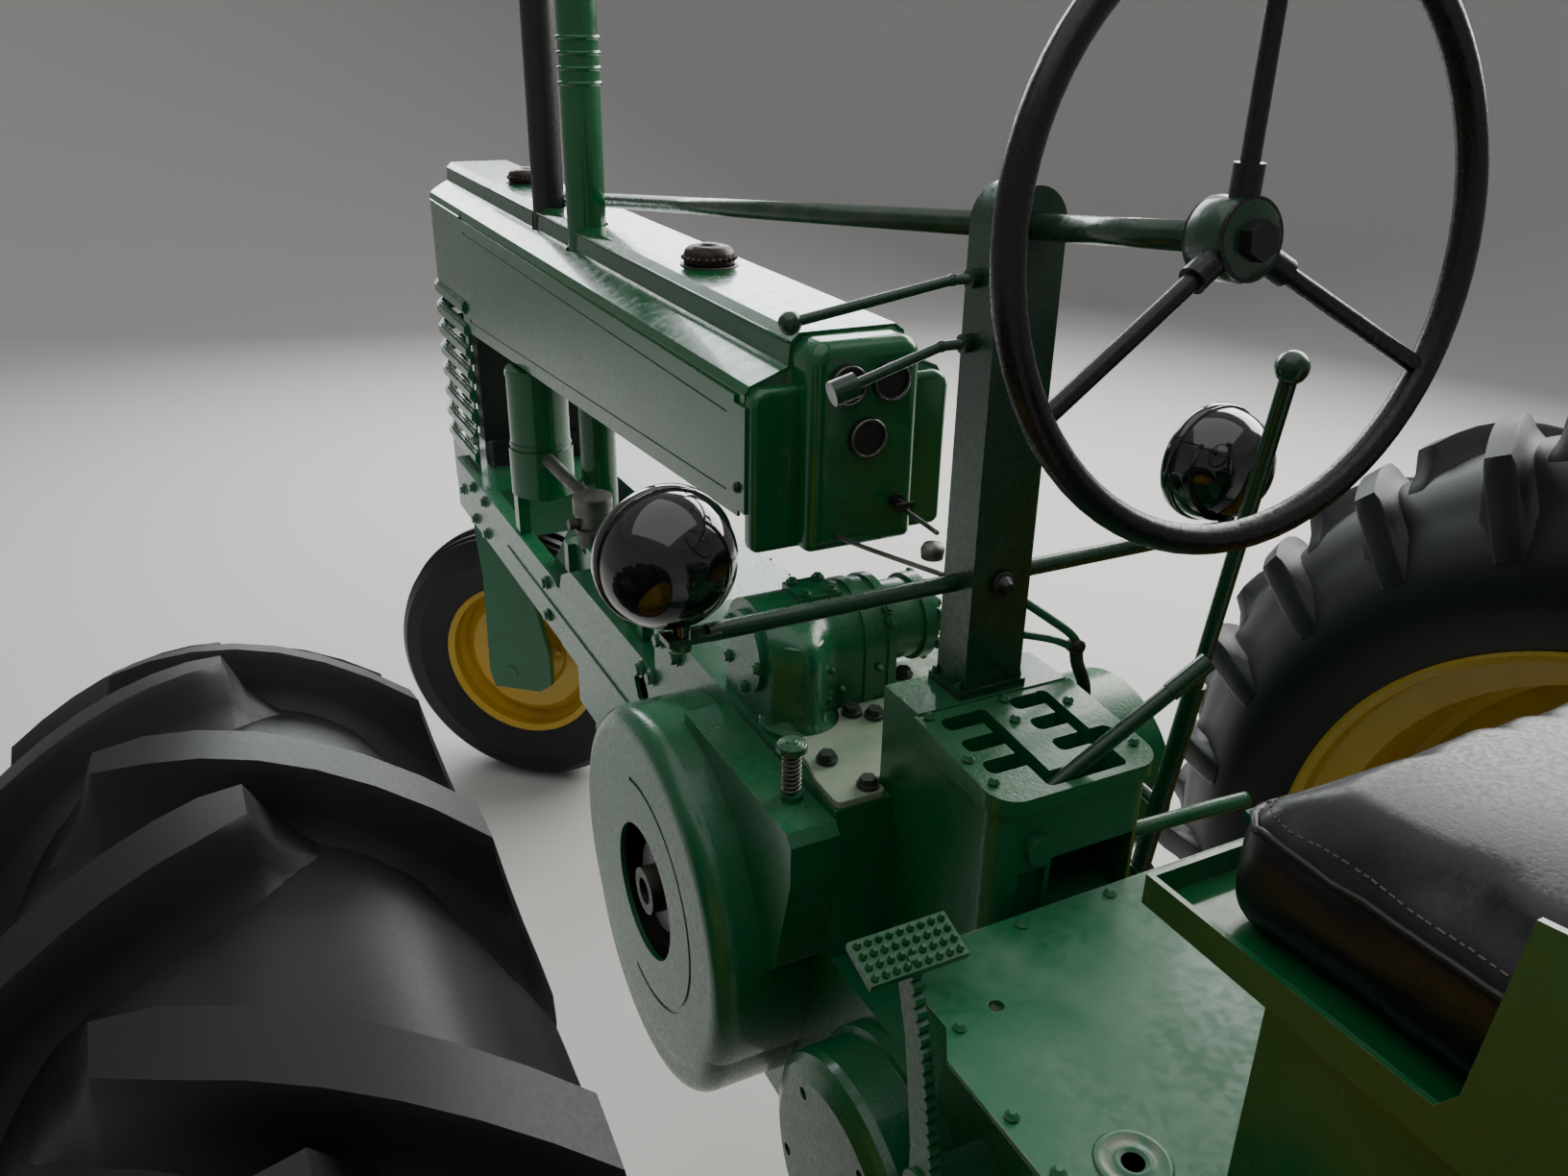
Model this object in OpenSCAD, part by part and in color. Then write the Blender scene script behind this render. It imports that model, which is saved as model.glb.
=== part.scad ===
// Two-cylinder row-crop tractor with one steered front wheel.
// Millimetres, +X forward, +Y to the driver's left, +Z up, ground at z = 0.
// Lengths along x are measured from the rear axle and shifted once when a piece is drawn.

/* [Running gear] */

// rear axle to front wheel centre
wheelbase = 2286; // [2200:2:2340]
// rear tyre outside radius
rear_tyre_r = 745; // [725:5:765]
// rear tyre width
rear_tyre_w = 290; // [250:5:310]
// rear rim bead seat radius
rear_rim_r = 483; // [450:1:500]
// middle of a rear tyre from the centre line
rear_tread_half = 715; // [690:5:900]
// lugs on each side of a rear tyre
lug_count = 24; // [18:1:26]
// width of a lug
lug_w = 56; // [40:1:64]
// front tyre outside radius
front_tyre_r = 345; // [320:5:365]
// front tyre width
front_tyre_w = 170; // [140:5:180]
// front rim bead seat radius
front_rim_r = 203; // [180:1:230]
// angle of the parked front wheel, positive to the left
steer_rest_deg = 50; // [-60:1:60]
// rear axle shaft radius
axle_r = 43; // [36:1:48]
// front axle bolt radius
front_axle_r = 17; // [14:0.5:22]

/* [Engine and gears] */

// crankshaft from the rear axle
crank_x = 705; // [690:1:720]
// crankshaft height
crank_z = 790; // [775:1:805]
// flywheel cover radius
cover_r = 240; // [225:1:250]
// outer face of the flywheel cover
cover_y = 275; // [265:1:290]
// belt pulley radius
pulley_r = 140; // [120:1:160]
// belt pulley width
pulley_w = 180; // [150:2:200]
// half width of the main case
case_half = 160; // [150:1:170]
// height of the crankcase top
crankcase_z = 1055; // [1045:1:1065]
// height of the gear case top
gearcase_z = 860; // [840:1:880]
// brake drum centre from the rear axle
brake_x = 257; // [250:1:275]
// brake drum centre height
brake_z = 716; // [700:1:730]
// brake drum radius
brake_r = 148; // [130:1:150]
// front end of the cylinder head
head_x = 1440; // [1400:2:1450]
// drawbar height
drawbar_z = 400; // [350:5:420]
// drawbar pin hole radius
drawbar_pin_r = 13; // [9:0.5:20]
// power take-off shaft radius
pto_r = 17.4; // [15.4:0.1:22]
// power take-off shaft height
pto_z = 640; // [600:5:680]

/* [Body] */

// hood top height at its rear edge
hood_top_z = 1490; // [1480:1:1500]
// rear edge of the hood
hood_rear_x = 710; // [700:1:730]
// seam between hood and grille shell
seam_x = 2080; // [2076:1:2100]
// rise of the hood towards the front
hood_rise = 1.08; // [0.8:0.02:1.2]
// length of the grille shell
nose_l = 350; // [330:2:370]
// half width over the side panels
panel_half = 135; // [130:1:140]
// half width of the raised middle of the hood
ridge_half = 75; // [70:1:80]
// sheet thickness of hood and panels
sheet = 3; // [2:0.5:4]
// grille ribs
rib_count = 8; // [5:1:9]
// frame rail outside face from the centre line
rail_y = 160; // [150:1:160]
// frame rail underside height
rail_z = 790; // [770:1:800]
// exhaust pipe from the rear axle
stack_x = 1505; // [1495:1:1510]
// both pipes from the centre line
stack_y = 50; // [50:1:52]
// exhaust pipe radius
stack_r = 32; // [26:1:33]
// height of the exhaust pipe top
stack_top_z = 2200; // [1900:5:2400]
// air cleaner from the rear axle
canister_x = 1700; // [1680:1:1720]

/* [Controls] */

// steering wheel hub from the rear axle
wheel_hub_x = 151; // [120:1:160]
// steering wheel hub height
wheel_hub_z = 1666; // [1660:1:1672]
// steering wheel radius to the middle of the ring
wheel_ring_r = 217; // [190:1:240]
// steering shaft radius
shaft_r = 11; // [9:0.5:11]
// fall of the steering shaft towards the front
shaft_tilt = 5.34; // [5.2:0.02:5.5]
// rear face of the steering post
post_x = 386; // [380:1:390]
// half width of the steering post
post_half = 35; // [32:1:40]
// shift case top height
shift_z = 1165; // [1150:1:1175]
// platform top height
platform_z = 1040; // [1030:1:1050]
// lamp centres from the centre line
lamp_y = 330; // [300:2:350]
// lamp radius
lamp_r = 67; // [62:1:76]
// seat cushion top height
seat_top_z = 1400; // [1390:1:1420]
// half width of the seat cushion
seat_half = 203; // [190:1:215]

/* [Hidden] */
$fn = 48;
gap = 0.3;
skin = 4;
ft_edge = front_tyre_w / 2;
front_tyre_edge = [
    [front_rim_r, ft_edge - 21], [front_rim_r + 10, ft_edge - 17], [front_tyre_r - 75, ft_edge],
    [front_tyre_r - 35, ft_edge - 5], [front_tyre_r - 15, ft_edge - 25],
    [front_tyre_r - 15, ft_edge - 39], [front_tyre_r - 8, ft_edge - 41],
    [front_tyre_r - 8, ft_edge - 61], [front_tyre_r - 15, ft_edge - 63],
    [front_tyre_r - 15, 12], [front_tyre_r, 10]
];
front_reach = max([
    for (p = front_tyre_edge) p[0] * cos(steer_rest_deg) + p[1] * sin(abs(steer_rest_deg))
]);
shift_x = -(wheelbase + front_reach - rear_tyre_r) / 2;
case_front = crank_x + cover_r + 5;
case_rear = -190;
crank_r = 31;
spindle_r = 33;
rail_front_top = rail_z + 115;
rail_rear_top = rail_z + 170;
post_base = shift_z + 12;
post_cz = wheel_hub_z - (post_x - wheel_hub_x) * tan(shaft_tilt);
lamp_bar_x = post_x + 32;
lamp_bar_z = shift_z + 130;
lamp_z = lamp_bar_z + lamp_r;
shoulder_z = hood_top_z - 56;
shift_front = post_x + 60;
shift_rear = post_x - 152;
shift_half = 92;
pan_z = seat_top_z - 95;
seat_front = -71;
seat_rear = -430;
tower_x = wheelbase - 50;
fork_z = 2 * front_tyre_r + 14;
rail_front_x = seam_x + 136;
nose_x = seam_x + nose_l;
intake_x = canister_x + 20;
shaft_len = (tower_x + 54 - wheel_hub_x) / cos(shaft_tilt);
meet_x = (wheel_hub_z + wheel_hub_x * tan(shaft_tilt) - hood_top_z + hood_rear_x * tan(hood_rise))
    / (tan(shaft_tilt) + tan(hood_rise));
green = [0.16, 0.42, 0.13];
yellow = [0.93, 0.78, 0.12];
black = [0.07, 0.07, 0.07];

function brake_y() = case_half + 85;

// A block between two corners.
module block(a, b) {
    translate(a) cube(b - a);
}

// A round bar from a point, along x, y or z.
module bar_x(p, r, l) {
    translate(p) rotate([0, 90, 0]) cylinder(r = r, h = l);
}

module bar_y(p, r, l) {
    translate(p) rotate([-90, 0, 0]) cylinder(r = r, h = l);
}

module bar_z(p, r, l) {
    translate(p) cylinder(r = r, h = l);
}

// A straight round rod between two points.
module rod(a, b, r) {
    d = b - a;
    l = norm(d);
    translate(a)
        rotate([0, acos(d[2] / l), atan2(d[1], d[0])])
            cylinder(r = r, h = l);
}

// A round rod through a list of points, with a ball at each bend.
module bent_rod(pts, r) {
    for (i = [1 : len(pts) - 1])
        rod(pts[i - 1], pts[i], r);
    for (i = [1 : len(pts) - 2])
        translate(pts[i]) sphere(r = r + 1);
}

// A flat outline in the x-z plane, thickened along y from y0 to y1.
module side_plate(pts, y0, y1) {
    translate([0, y1, 0]) rotate([90, 0, 0]) linear_extrude(y1 - y0) polygon(pts);
}

// A flat outline in the y-z plane, thickened along x from x0 to x1.
module cross_plate(pts, x0, x1) {
    translate([x0, 0, 0]) rotate([90, 0, 90]) linear_extrude(x1 - x0) polygon(pts);
}

// Both mirror images about the centre line.
module pair() {
    children();
    mirror([0, 1, 0]) children();
}

// A turned shape about a y axis: the outline is radius against distance along y.
module turned_y(p, pts) {
    translate(p) rotate([-90, 0, 0]) rotate_extrude() polygon(pts);
}

// A flat rectangle with round corners.
module round_plate(a, b, r) {
    translate([a[0] + r, a[1]]) square([b[0] - a[0] - 2 * r, b[1] - a[1]]);
    translate([a[0], a[1] + r]) square([b[0] - a[0], b[1] - a[1] - 2 * r]);
    for (x = [a[0] + r, b[0] - r])
        for (y = [a[1] + r, b[1] - r])
            translate([x, y]) circle(r = r);
}

// Puts its children on the steering shaft's axis, z running down the shaft from the wheel.
module steering_line() {
    translate([wheel_hub_x, 0, wheel_hub_z])
        rotate([0, 90 + shaft_tilt, 0])
            children();
}

// Turns its children so that the hood rises towards the front.
module hood_tilt() {
    translate([hood_rear_x, 0, hood_top_z])
        rotate([0, -hood_rise, 0])
            translate([-hood_rear_x, 0, -hood_top_z])
                children();
}

module main_case() {
    color(green)
    difference() {
        side_plate([
                [case_rear, pto_z - 80], [case_rear + 40, drawbar_z + 70], [420, drawbar_z + 70],
                [crank_x - 185, 540], [case_front - 40, 540], [case_front, 600],
                [case_front, crankcase_z],
                [shift_front - 26, crankcase_z], [shift_front - 26, gearcase_z],
                [shift_rear - 30, gearcase_z],
                [shift_rear - 45, platform_z - 5 - gap], [case_rear, platform_z - 5 - gap]
            ], -case_half, case_half);
        bar_y([crank_x, -case_half - 1, crank_z], crank_r + gap, 2 * case_half + 2);
        bar_x([case_rear - 10, 0, pto_z], pto_r - 2.4 + gap, 140);
    }
}

module rear_axle_housings() {
    l = rear_tread_half - 182 - case_half;
    color(green)
    pair()
    difference() {
        turned_y([0, case_half + gap, rear_tyre_r], [
            [0, 0], [104, 0], [104, 18], [96, 26], [88, 110], [78, l - 55], [78, l - 24],
            [100, l - 22], [100, l], [0, l]
        ]);
        bar_y([0, case_half + l - 98, rear_tyre_r], axle_r + gap, 120);
    }
}

module engine_block() {
    inner = rail_y - 30 - gap;
    color(green)
    union() {
        block([case_front + gap, -inner, crank_z - 150], [head_x - 90, inner, rail_rear_top + 40]);
        for (i = [0 : 4])
            block([case_front + 30 + i * 70, -inner - 12, rail_rear_top + 6],
                [case_front + 52 + i * 70, inner + 12, rail_rear_top + 34]);
        block([head_x - 91, -inner, crank_z - 130], [head_x, inner, rail_rear_top + 25]);
        block([head_x - 30, -inner - 14, rail_rear_top - 30],
            [head_x - 8, inner + 14, rail_rear_top + 25]);
        cross_plate([
            [-inner, crank_z - 60], [inner, crank_z - 60], [inner, crank_z + 120],
            [inner - 40, rail_rear_top + 24],
            [40 - inner, rail_rear_top + 24], [-inner, crank_z + 120]
        ], head_x - 1, head_x + 100);
    }
}

module frame_rails() {
    color(green)
    pair()
    difference() {
        union() {
            side_plate(rail_outline(0), rail_y - 30, rail_y);
            side_plate([
                [case_front + gap + 120, rail_z + 45], [canister_x + 80, rail_z + 45],
                [canister_x + 90, rail_z + 52], [canister_x + 80, rail_z + 59],
                [case_front + gap + 120, rail_z + 59]
            ], rail_y - 1, rail_y + 3);
        }
        side_plate(rail_outline(7), rail_y - 40, rail_y - 7);
        translate([case_front + 62, rail_y - 20, rail_z + 118])
            rotate([-90, 0, 0])
                cylinder(r = 30, h = 40, $fn = 6);
        bar_y([case_front + 84, rail_y - 20, rail_z + 60], 8, 40);
        bar_y([case_front + 40, rail_y - 20, rail_z + 30], 8, 40);
    }
}

function rail_outline(t) = [
    [case_front + gap + t, rail_z + t], [rail_front_x + t, rail_z + t],
    [rail_front_x + t, rail_front_top - t],
    [head_x + 12, rail_front_top - t], [head_x, rail_front_top - 9 - t],
    [head_x - 20, rail_front_top - 4 - t], [head_x - 35, rail_front_top + 28 - t],
    [head_x - 90, rail_rear_top - t], [case_front + gap + t, rail_rear_top - t]
];

module front_pedestal() {
    inner = rail_y - 30 - gap;
    tower_top = hood_top_z + 14;
    color(green)
    difference() {
        union() {
            side_plate([
                [seam_x - 130, rail_z], [tower_x - 40, fork_z + 51], [wheelbase + 50, fork_z + 51],
                [wheelbase + 90, fork_z + 106], [wheelbase + 90, rail_front_top],
                [seam_x - 130, rail_front_top]
            ], -inner, inner);
            bar_z([wheelbase, 0, fork_z + 38], 62, 60);
            block([tower_x, -50, rail_front_top - 1], [tower_x + 90, 50, tower_top]);
        }
        bar_z([wheelbase, 0, fork_z + 36], spindle_r + gap, 260);
        steering_line() cylinder(r = shaft_r + gap, h = shaft_len + 10);
    }
}

module radiator() {
    x = seam_x + 24;
    color(black)
    union() {
        block([x, -rail_y + 60, rail_front_top + gap], [x + 70, rail_y - 60, rail_front_top + 60]);
        block([x + 12, -rail_y + 48, rail_front_top + 59], [x + 58, rail_y - 48, hood_top_z - 140]);
        block([x, -rail_y + 60, hood_top_z - 141], [x + 70, rail_y - 60, hood_top_z - 70]);
    }
}

// The shell's plan: straight sides with a wide rounded nose.
module nose_plan(grow) {
    h = panel_half + grow;
    l = nose_l + grow;
    r = 95 + grow;
    square_from([-30, -h], [l - r, h]);
    square_from([-30, r - h], [l, h - r]);
    for (s = [-1, 1])
        translate([l - r, s * (h - r)]) circle(r = r);
}

// The hollow inside the shell, open to the rear.
module nose_plan_long() {
    translate([20, 0]) nose_plan(-skin);
    square_from([-30, skin - panel_half], [60, panel_half - skin]);
}

module square_from(a, b) {
    translate(a) square(b - a);
}

function shell_outline(t) = [
    [-panel_half - 12, 700], [-panel_half - 12, shoulder_z - 14 - t],
    [-panel_half + 2 + t, shoulder_z - 10 - t],
    [-panel_half + 10 + t, shoulder_z - t], [-ridge_half - 2 + t, shoulder_z + 18 - t],
    [-ridge_half + t, hood_top_z - 10 - t], [-ridge_half + 12 + t, hood_top_z - t],
    [ridge_half - 12 - t, hood_top_z - t], [ridge_half - t, hood_top_z - 10 - t],
    [ridge_half + 2 - t, shoulder_z + 18 - t], [panel_half - 10 - t, shoulder_z - t],
    [panel_half - 2 - t, shoulder_z - 10 - t], [panel_half + 12, shoulder_z - 14 - t],
    [panel_half + 12, 700]
];

module grille_shell() {
    z0 = rail_front_top + gap;
    pitch = (hood_top_z - 190 - rail_front_top - 15) / rib_count;
    color(green)
    difference() {
        union() {
            intersection() {
                translate([seam_x + gap, 0, z0]) linear_extrude(900) nose_plan(0);
                hood_tilt() cross_plate(shell_outline(0), seam_x - 100, nose_x + 100);
            }
            for (i = [0 : rib_count - 1])
                translate([seam_x + gap, 0, rail_front_top + 15 + i * pitch])
                    rib(pitch * 0.55);
        }
        intersection() {
            translate([seam_x - 20, 0, z0 - 1]) linear_extrude(900) nose_plan_long();
            hood_tilt() cross_plate(shell_outline(skin), seam_x - 120, nose_x + 120);
        }
        hood_tilt() block([seam_x - 120, -400, 600], [seam_x + gap, 400, hood_top_z + 210]);
        for (i = [0 : rib_count - 2])
            translate([seam_x, 0, rail_front_top + 15 + i * pitch + pitch * 0.62])
                difference() {
                    linear_extrude(pitch * 0.31) nose_plan(20);
                    block([-10, -300, -10], [30, 300, 90]);
                    block([0, -16, -10], [nose_l + 60, 16, 90]);
                }
    }
}

// One rounded bar that wraps round the shell.
module rib(h) {
    linear_extrude(h) nose_plan(4);
    translate([0, 0, h * 0.2]) linear_extrude(h * 0.6) nose_plan(8);
}

function hood_outline(t) = [
    [-panel_half + 4 + t, shoulder_z - 60], [-panel_half + 4 + t, shoulder_z - 10 - t],
    [-panel_half + 10 + t, shoulder_z - t], [-ridge_half - 2 + t, shoulder_z + 18 - t],
    [-ridge_half + t, hood_top_z - 10 - t], [-ridge_half + 12 + t, hood_top_z - t],
    [ridge_half - 12 - t, hood_top_z - t], [ridge_half - t, hood_top_z - 10 - t],
    [ridge_half + 2 - t, shoulder_z + 18 - t], [panel_half - 10 - t, shoulder_z - t],
    [panel_half - 4 - t, shoulder_z - 10 - t], [panel_half - 4 - t, shoulder_z - 60]
];

module hood() {
    color(green)
    difference() {
        hood_tilt()
            difference() {
                cross_plate(hood_outline(0), hood_rear_x, seam_x);
                translate([0, 0, -0.5])
                    cross_plate(hood_outline(sheet), hood_rear_x - 1, seam_x + 1);
            }
        bar_z([stack_x, stack_y, hood_top_z - 90], stack_r + 4, 200);
        bar_z([intake_x, stack_y, hood_top_z - 90], stack_r, 200);
        block([meet_x - 120, -shaft_r - 2, hood_top_z - 40], [meet_x + 150, shaft_r + 2, hood_top_z + 110]);
        block([seam_x - 60, -300, hood_top_z - 110], [seam_x - 52, -panel_half + 2, hood_top_z + 110]);
    }
}

module hood_sides() {
    color(green)
    pair()
    hood_tilt()
    difference() {
        side_plate([
            [hood_rear_x - 10, hood_top_z - 206], [hood_rear_x + 8, hood_top_z - 206],
            [hood_rear_x + 8, hood_top_z - 214], [seam_x - gap, hood_top_z - 299],
            [seam_x - gap, shoulder_z - 14], [hood_rear_x + 20, shoulder_z - 14],
            [hood_rear_x + 20, shoulder_z - 22], [hood_rear_x - 10, shoulder_z - 22]
        ], panel_half - 4 + gap, panel_half);
        side_plate([
            [hood_rear_x + 40, hood_top_z - 192], [seam_x - 30, hood_top_z - 274],
            [seam_x - 30, hood_top_z - 267], [hood_rear_x + 40, hood_top_z - 185]
        ], panel_half - 1.5, panel_half + 1);
        side_plate([
            [hood_rear_x + 40, shoulder_z - 40], [seam_x - 30, shoulder_z - 40],
            [seam_x - 30, shoulder_z - 36], [hood_rear_x + 40, shoulder_z - 36]
        ], panel_half - 1.5, panel_half + 1);
    }
}

module dash_cowl() {
    face = hood_rear_x - 50;
    color(green)
    difference() {
        union() {
            translate([0, 0, hood_top_z - 254])
                linear_extrude(250)
                    round_plate([face, 2 - ridge_half], [hood_rear_x + 30, ridge_half - 2], 24);
            block([hood_rear_x - 5, 4 - panel_half, hood_top_z - 210],
                [hood_rear_x - gap, panel_half - 4, shoulder_z]);
            translate([hood_rear_x - 18, 0, 0])
                rotate([90, 0, 90])
                    linear_extrude(17)
                        round_plate(
                            [14 - panel_half, hood_top_z - 252], [panel_half - 14, shoulder_z - 4], 12
                        );
        }
        block([hood_rear_x - gap, -200, hood_top_z - 390], [hood_rear_x + 60, 200, hood_top_z + 110]);
        translate([0, 0, hood_top_z - 250])
            linear_extrude(242)
                round_plate([face + 4, 6 - ridge_half], [hood_rear_x + 60, ridge_half - 6], 20);
    }
}

module gauges() {
    face = hood_rear_x - 50 - gap;
    color(black)
    union() {
        for (p = [[28, -52], [-28, -52], [0, -116]])
            difference() {
                bar_x([face - 6, p[0], hood_top_z + p[1]], 24, 6);
                bar_x([face - 7, p[0], hood_top_z + p[1]], 20, 3);
            }
        bar_x([face - 8, -43, hood_top_z - 199], 9, 8);
        bar_x([face - 22, -43, hood_top_z - 199], 4, 15);
        block([face - 25, -55, hood_top_z - 203], [face - 21, -31, hood_top_z - 195]);
    }
}

module filler_caps() {
    color([0.35, 0.2, 0.12])
    hood_tilt()
    for (x = [crank_x + 407, seam_x - 44])
        translate([x, 0, hood_top_z + gap]) {
            cylinder(r = 36, h = 7);
            cylinder(r = 30, h = 17);
            cylinder(r = 14, h = 21);
        }
}

module exhaust_stack() {
    base = rail_rear_top + 24 + gap;
    color(green)
    difference() {
        union() {
            bar_z([stack_x, stack_y, base], stack_r, stack_top_z - base);
            bar_z([stack_x, stack_y, base], stack_r + 4, 12);
            for (i = [0 : 3])
                translate([stack_x, stack_y, hood_top_z + 230 + i * 22])
                    rotate_extrude()
                        translate([stack_r - 1, 0]) circle(r = 4);
        }
        bar_z([stack_x, stack_y, base + 12], stack_r - 3, stack_top_z);
    }
}

module intake_stack() {
    base = canister_top() + gap;
    color(black)
    difference() {
        union() {
            bar_z([intake_x, stack_y, base + 12], 28, stack_top_z - 150 - base);
            rod([intake_x, stack_y, base + 40], [canister_x, canister_y(), base + 40], 20);
            bar_z([canister_x, canister_y(), base], 22, 66);
        }
        bar_z([intake_x, stack_y, base + 60], 25, stack_top_z);
    }
}

function canister_y() = rail_y - 60;
function canister_top() = hood_top_z - 263;

module air_cleaner() {
    y = canister_y();
    top = canister_top();
    color(green)
    union() {
        bar_z([canister_x, y, top - 242], 56, 242);
        bar_z([canister_x, y, top - 242], 60, 90);
        bar_z([canister_x, y, top - 146], 58, 6);
        bar_z([canister_x, y, top - 12], 58, 8);
        bar_z([canister_x, y, top - 252], 40, 12);
        block([canister_x - 14, rail_y - 26, rail_front_top + gap],
            [canister_x + 14, rail_y - 4, top - 200]);
    }
}

module intake_pipes() {
    y = canister_y() + 3;
    x = head_x - 55;
    z = rail_rear_top + 25 + gap;
    color([0.4, 0.4, 0.4])
    union() {
        bar_z([x, y, z], 26, 70);
        bar_z([x, y, z + 28], 32, 8);
        bar_z([x, y, z + 62], 34, 30);
        bar_x([x, y, z + 77], 13, canister_x - 60 - gap - x);
        bar_y([x, y, z + 46], 9, 44);
    }
}

module governor_housing() {
    x = crank_x - 45;
    z = crankcase_z + 78;
    color(green)
    union() {
        arched_block(x, z, 62, -15, 150);
        arched_block(x, z, 65, 14, 26);
        arched_block(x, z, 65, -17, -6);
        bar_y([x, -66, z], 50, 60);
        bar_y([x, -82, z], 55, 17);
        bar_y([x, -96, z], 38, 15);
        bar_y([x, 149, z - 2], 50, 9);
        block([x - 34, 44, z + 40], [x + 20, 96, z + 68]);
        translate([x - 58, 112, crankcase_z + gap])
            rotate_extrude()
                polygon([
                    [0, 0], [46, 0], [46, 6], [38, 9], [33, 16], [30, 30], [29, 60], [28, 108],
                    [20, 114], [0, 114]
                ]);
    }
}

// A block on the crankcase with a half-round top, from y0 to y1.
module arched_block(x, z, r, y0, y1) {
    translate([0, y1, 0])
        rotate([90, 0, 0])
            linear_extrude(y1 - y0)
                union() {
                    translate([x, z]) circle(r = r);
                    square_from([x - r, crankcase_z + gap], [x + r, z]);
                }
}

// Half section of the flywheel cover: radius along x, distance out from the case along y.
module cover_section(r, d, edge) {
    square_from([0, 0], [r - edge, d]);
    square_from([0, 0], [r, d - edge]);
    translate([r - edge, d - edge]) circle(r = edge);
}

module flywheel_cover() {
    d = cover_y - case_half - gap;
    seat = [crank_x, case_half + gap, crank_z];
    top = crankcase_z - 10;
    color(green)
    difference() {
        union() {
            cover_drum(seat, cover_r, d, 26);
            side_plate([
                [crank_x - 10, crank_z], [crank_x - 10, top], [crank_x - 285, top],
                [crank_x - 296, top - 12], [crank_x - 296, top - 60], [crank_x - 262, crank_z + 60],
                [crank_x - 200, crank_z]
            ], case_half + gap, case_half + 58);
        }
        cover_drum(seat - [0, 1, 0], cover_r - 7, d - 6, 20);
        bar_y([crank_x, case_half, crank_z], 90, 200);
        difference() {
            turned_y([crank_x, cover_y - 2, crank_z], [[150, 0], [156, 0], [156, 5], [150, 5]]);
            block([crank_x + 40, case_half, crank_z - 200], [crank_x + 200, 400, crank_z + 200]);
        }
    }
}

// The cover's drum, which reaches further down than up.
module cover_drum(seat, r, d, edge) {
    translate(seat) rotate([-90, 0, 0]) rotate_extrude() cover_section(r, d, edge);
    translate(seat - [0, -0.5, 54])
        rotate([-90, 0, 0]) rotate_extrude() cover_section(r - 20, d - 1.5, edge);
}

module flywheel() {
    y = case_half + 25;
    color(black)
    difference() {
        union() {
            bar_y([crank_x, y, crank_z], cover_r - 70, 70);
            bar_y([crank_x, 40, crank_z], crank_r, y + 50);
        }
        turned_y([crank_x, y + 46, crank_z], [[58, 0], [136, 0], [136, 40], [58, 40]]);
        bar_y([crank_x, y + 60, crank_z], 18, 60);
    }
}

module belt_pulley() {
    y = -case_half - 140 - pulley_w;
    color(green)
    difference() {
        union() {
            bar_y([crank_x, y, crank_z], pulley_r, pulley_w);
            bar_y([crank_x, y + pulley_w - 1, crank_z], pulley_r - 44, 101);
            bar_y([crank_x, -case_half - 41, crank_z], crank_r, case_half - 20);
        }
        turned_y([crank_x, y - 1, crank_z], [
            [54, 0], [pulley_r - 12, 0], [pulley_r - 12, pulley_w - 20], [54, pulley_w - 20]
        ]);
        bar_y([crank_x, y - 1, crank_z], 22, 40);
    }
}

module shift_case() {
    front = shift_front - 26 - gap;
    z = shift_z;
    color(green)
    difference() {
        union() {
            intersection() {
                translate([0, 0, gearcase_z + gap])
                    linear_extrude(post_base - gearcase_z)
                        round_plate([shift_rear, -shift_half], [shift_front + 30, shift_half], 26);
                side_plate([
                    [shift_rear - 5, gearcase_z - 5], [shift_rear - 5, z - 5.5], [post_x - 6, z + 10],
                    [post_x - 6, post_base], [shift_front, post_base], [shift_front, crankcase_z + gap],
                    [front, crankcase_z + gap], [front, gearcase_z - 5]
                ], -shift_half - 20, shift_half + 20);
            }
            intersection() {
                translate([0, 0, z - 22])
                    linear_extrude(60)
                        round_plate(
                            [shift_rear - 5, -shift_half - 5], [shift_front, shift_half + 5], 30
                        );
                side_plate([
                    [shift_rear - 10, z - 22], [shift_rear - 10, z - 6], [post_x - 6, z + 10],
                    [post_x - 6, z - 22]
                ], -shift_half - 20, shift_half + 20);
            }
        }
        block([shift_rear - 10, -73, platform_z - 38], [shift_rear + 60, 28, platform_z + 40]);
        block([shift_rear - 10, 34, platform_z - 30],
            [shift_rear + 8, shift_half - 26, platform_z + 32]);
        translate([shift_rear, 0, z - 45])
            linear_extrude(80)
                shift_gate();
        lever_line(-44 - gap, 90, 8 + gap);
    }
    color(green)
        bar_x([shift_rear - 9, 47, platform_z + 58], 15, 20);
}

// The lever's paths: two combs of three fingers, with their backs joined at the rear.
module shift_gate() {
    for (x = [49, 85, 122]) {
        round_plate([x - 10, 24], [x + 10, 78], 8);
        round_plate([x - 5, -50], [x + 15, -8], 8);
    }
    round_plate([4, 22], [133, 37], 7);
    round_plate([4, -58], [138, -43], 7);
    round_plate([4, -58], [24, 37], 7);
    round_plate([44, -80], [64, -46], 8);
}

module gear_lever() {
    color(green)
    union() {
        lever_line(-44, 172, 8);
        lever_line(128, 174, 9.5);
    }
}

// A round bar on the gear lever's axis, from one distance along it to another.
module lever_line(from, to, r) {
    a = [shift_rear + 14.5, 12, shift_z - 8];
    d = [-0.152, -0.773, 0.616];
    rod(a + from * d, a + to * d, r);
}

module steering_post() {
    z0 = post_base + gap;
    color(green)
    difference() {
        union() {
            difference() {
                post_shape(post_half, z0, post_x, post_x + 50);
                post_shape(post_half - 6, z0 + 40, post_x + 6, post_x + 60);
            }
            block([post_x - 2, -post_half - 6, z0], [post_x + 56, post_half + 6, z0 + 9]);
            bar_x([post_x + 1, 0, post_cz - 2], 20, 49);
        }
        steering_line() cylinder(r = shaft_r + gap, h = 500);
        bar_y([lamp_bar_x, -100, lamp_bar_z], 9 + gap, 200);
    }
}

// An upright with a round head, centred on the steering shaft.
module post_shape(half, z0, x0, x1) {
    block([x0, -half, z0], [x1, half, post_cz]);
    bar_x([x0, 0, post_cz], half, x1 - x0);
}

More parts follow.
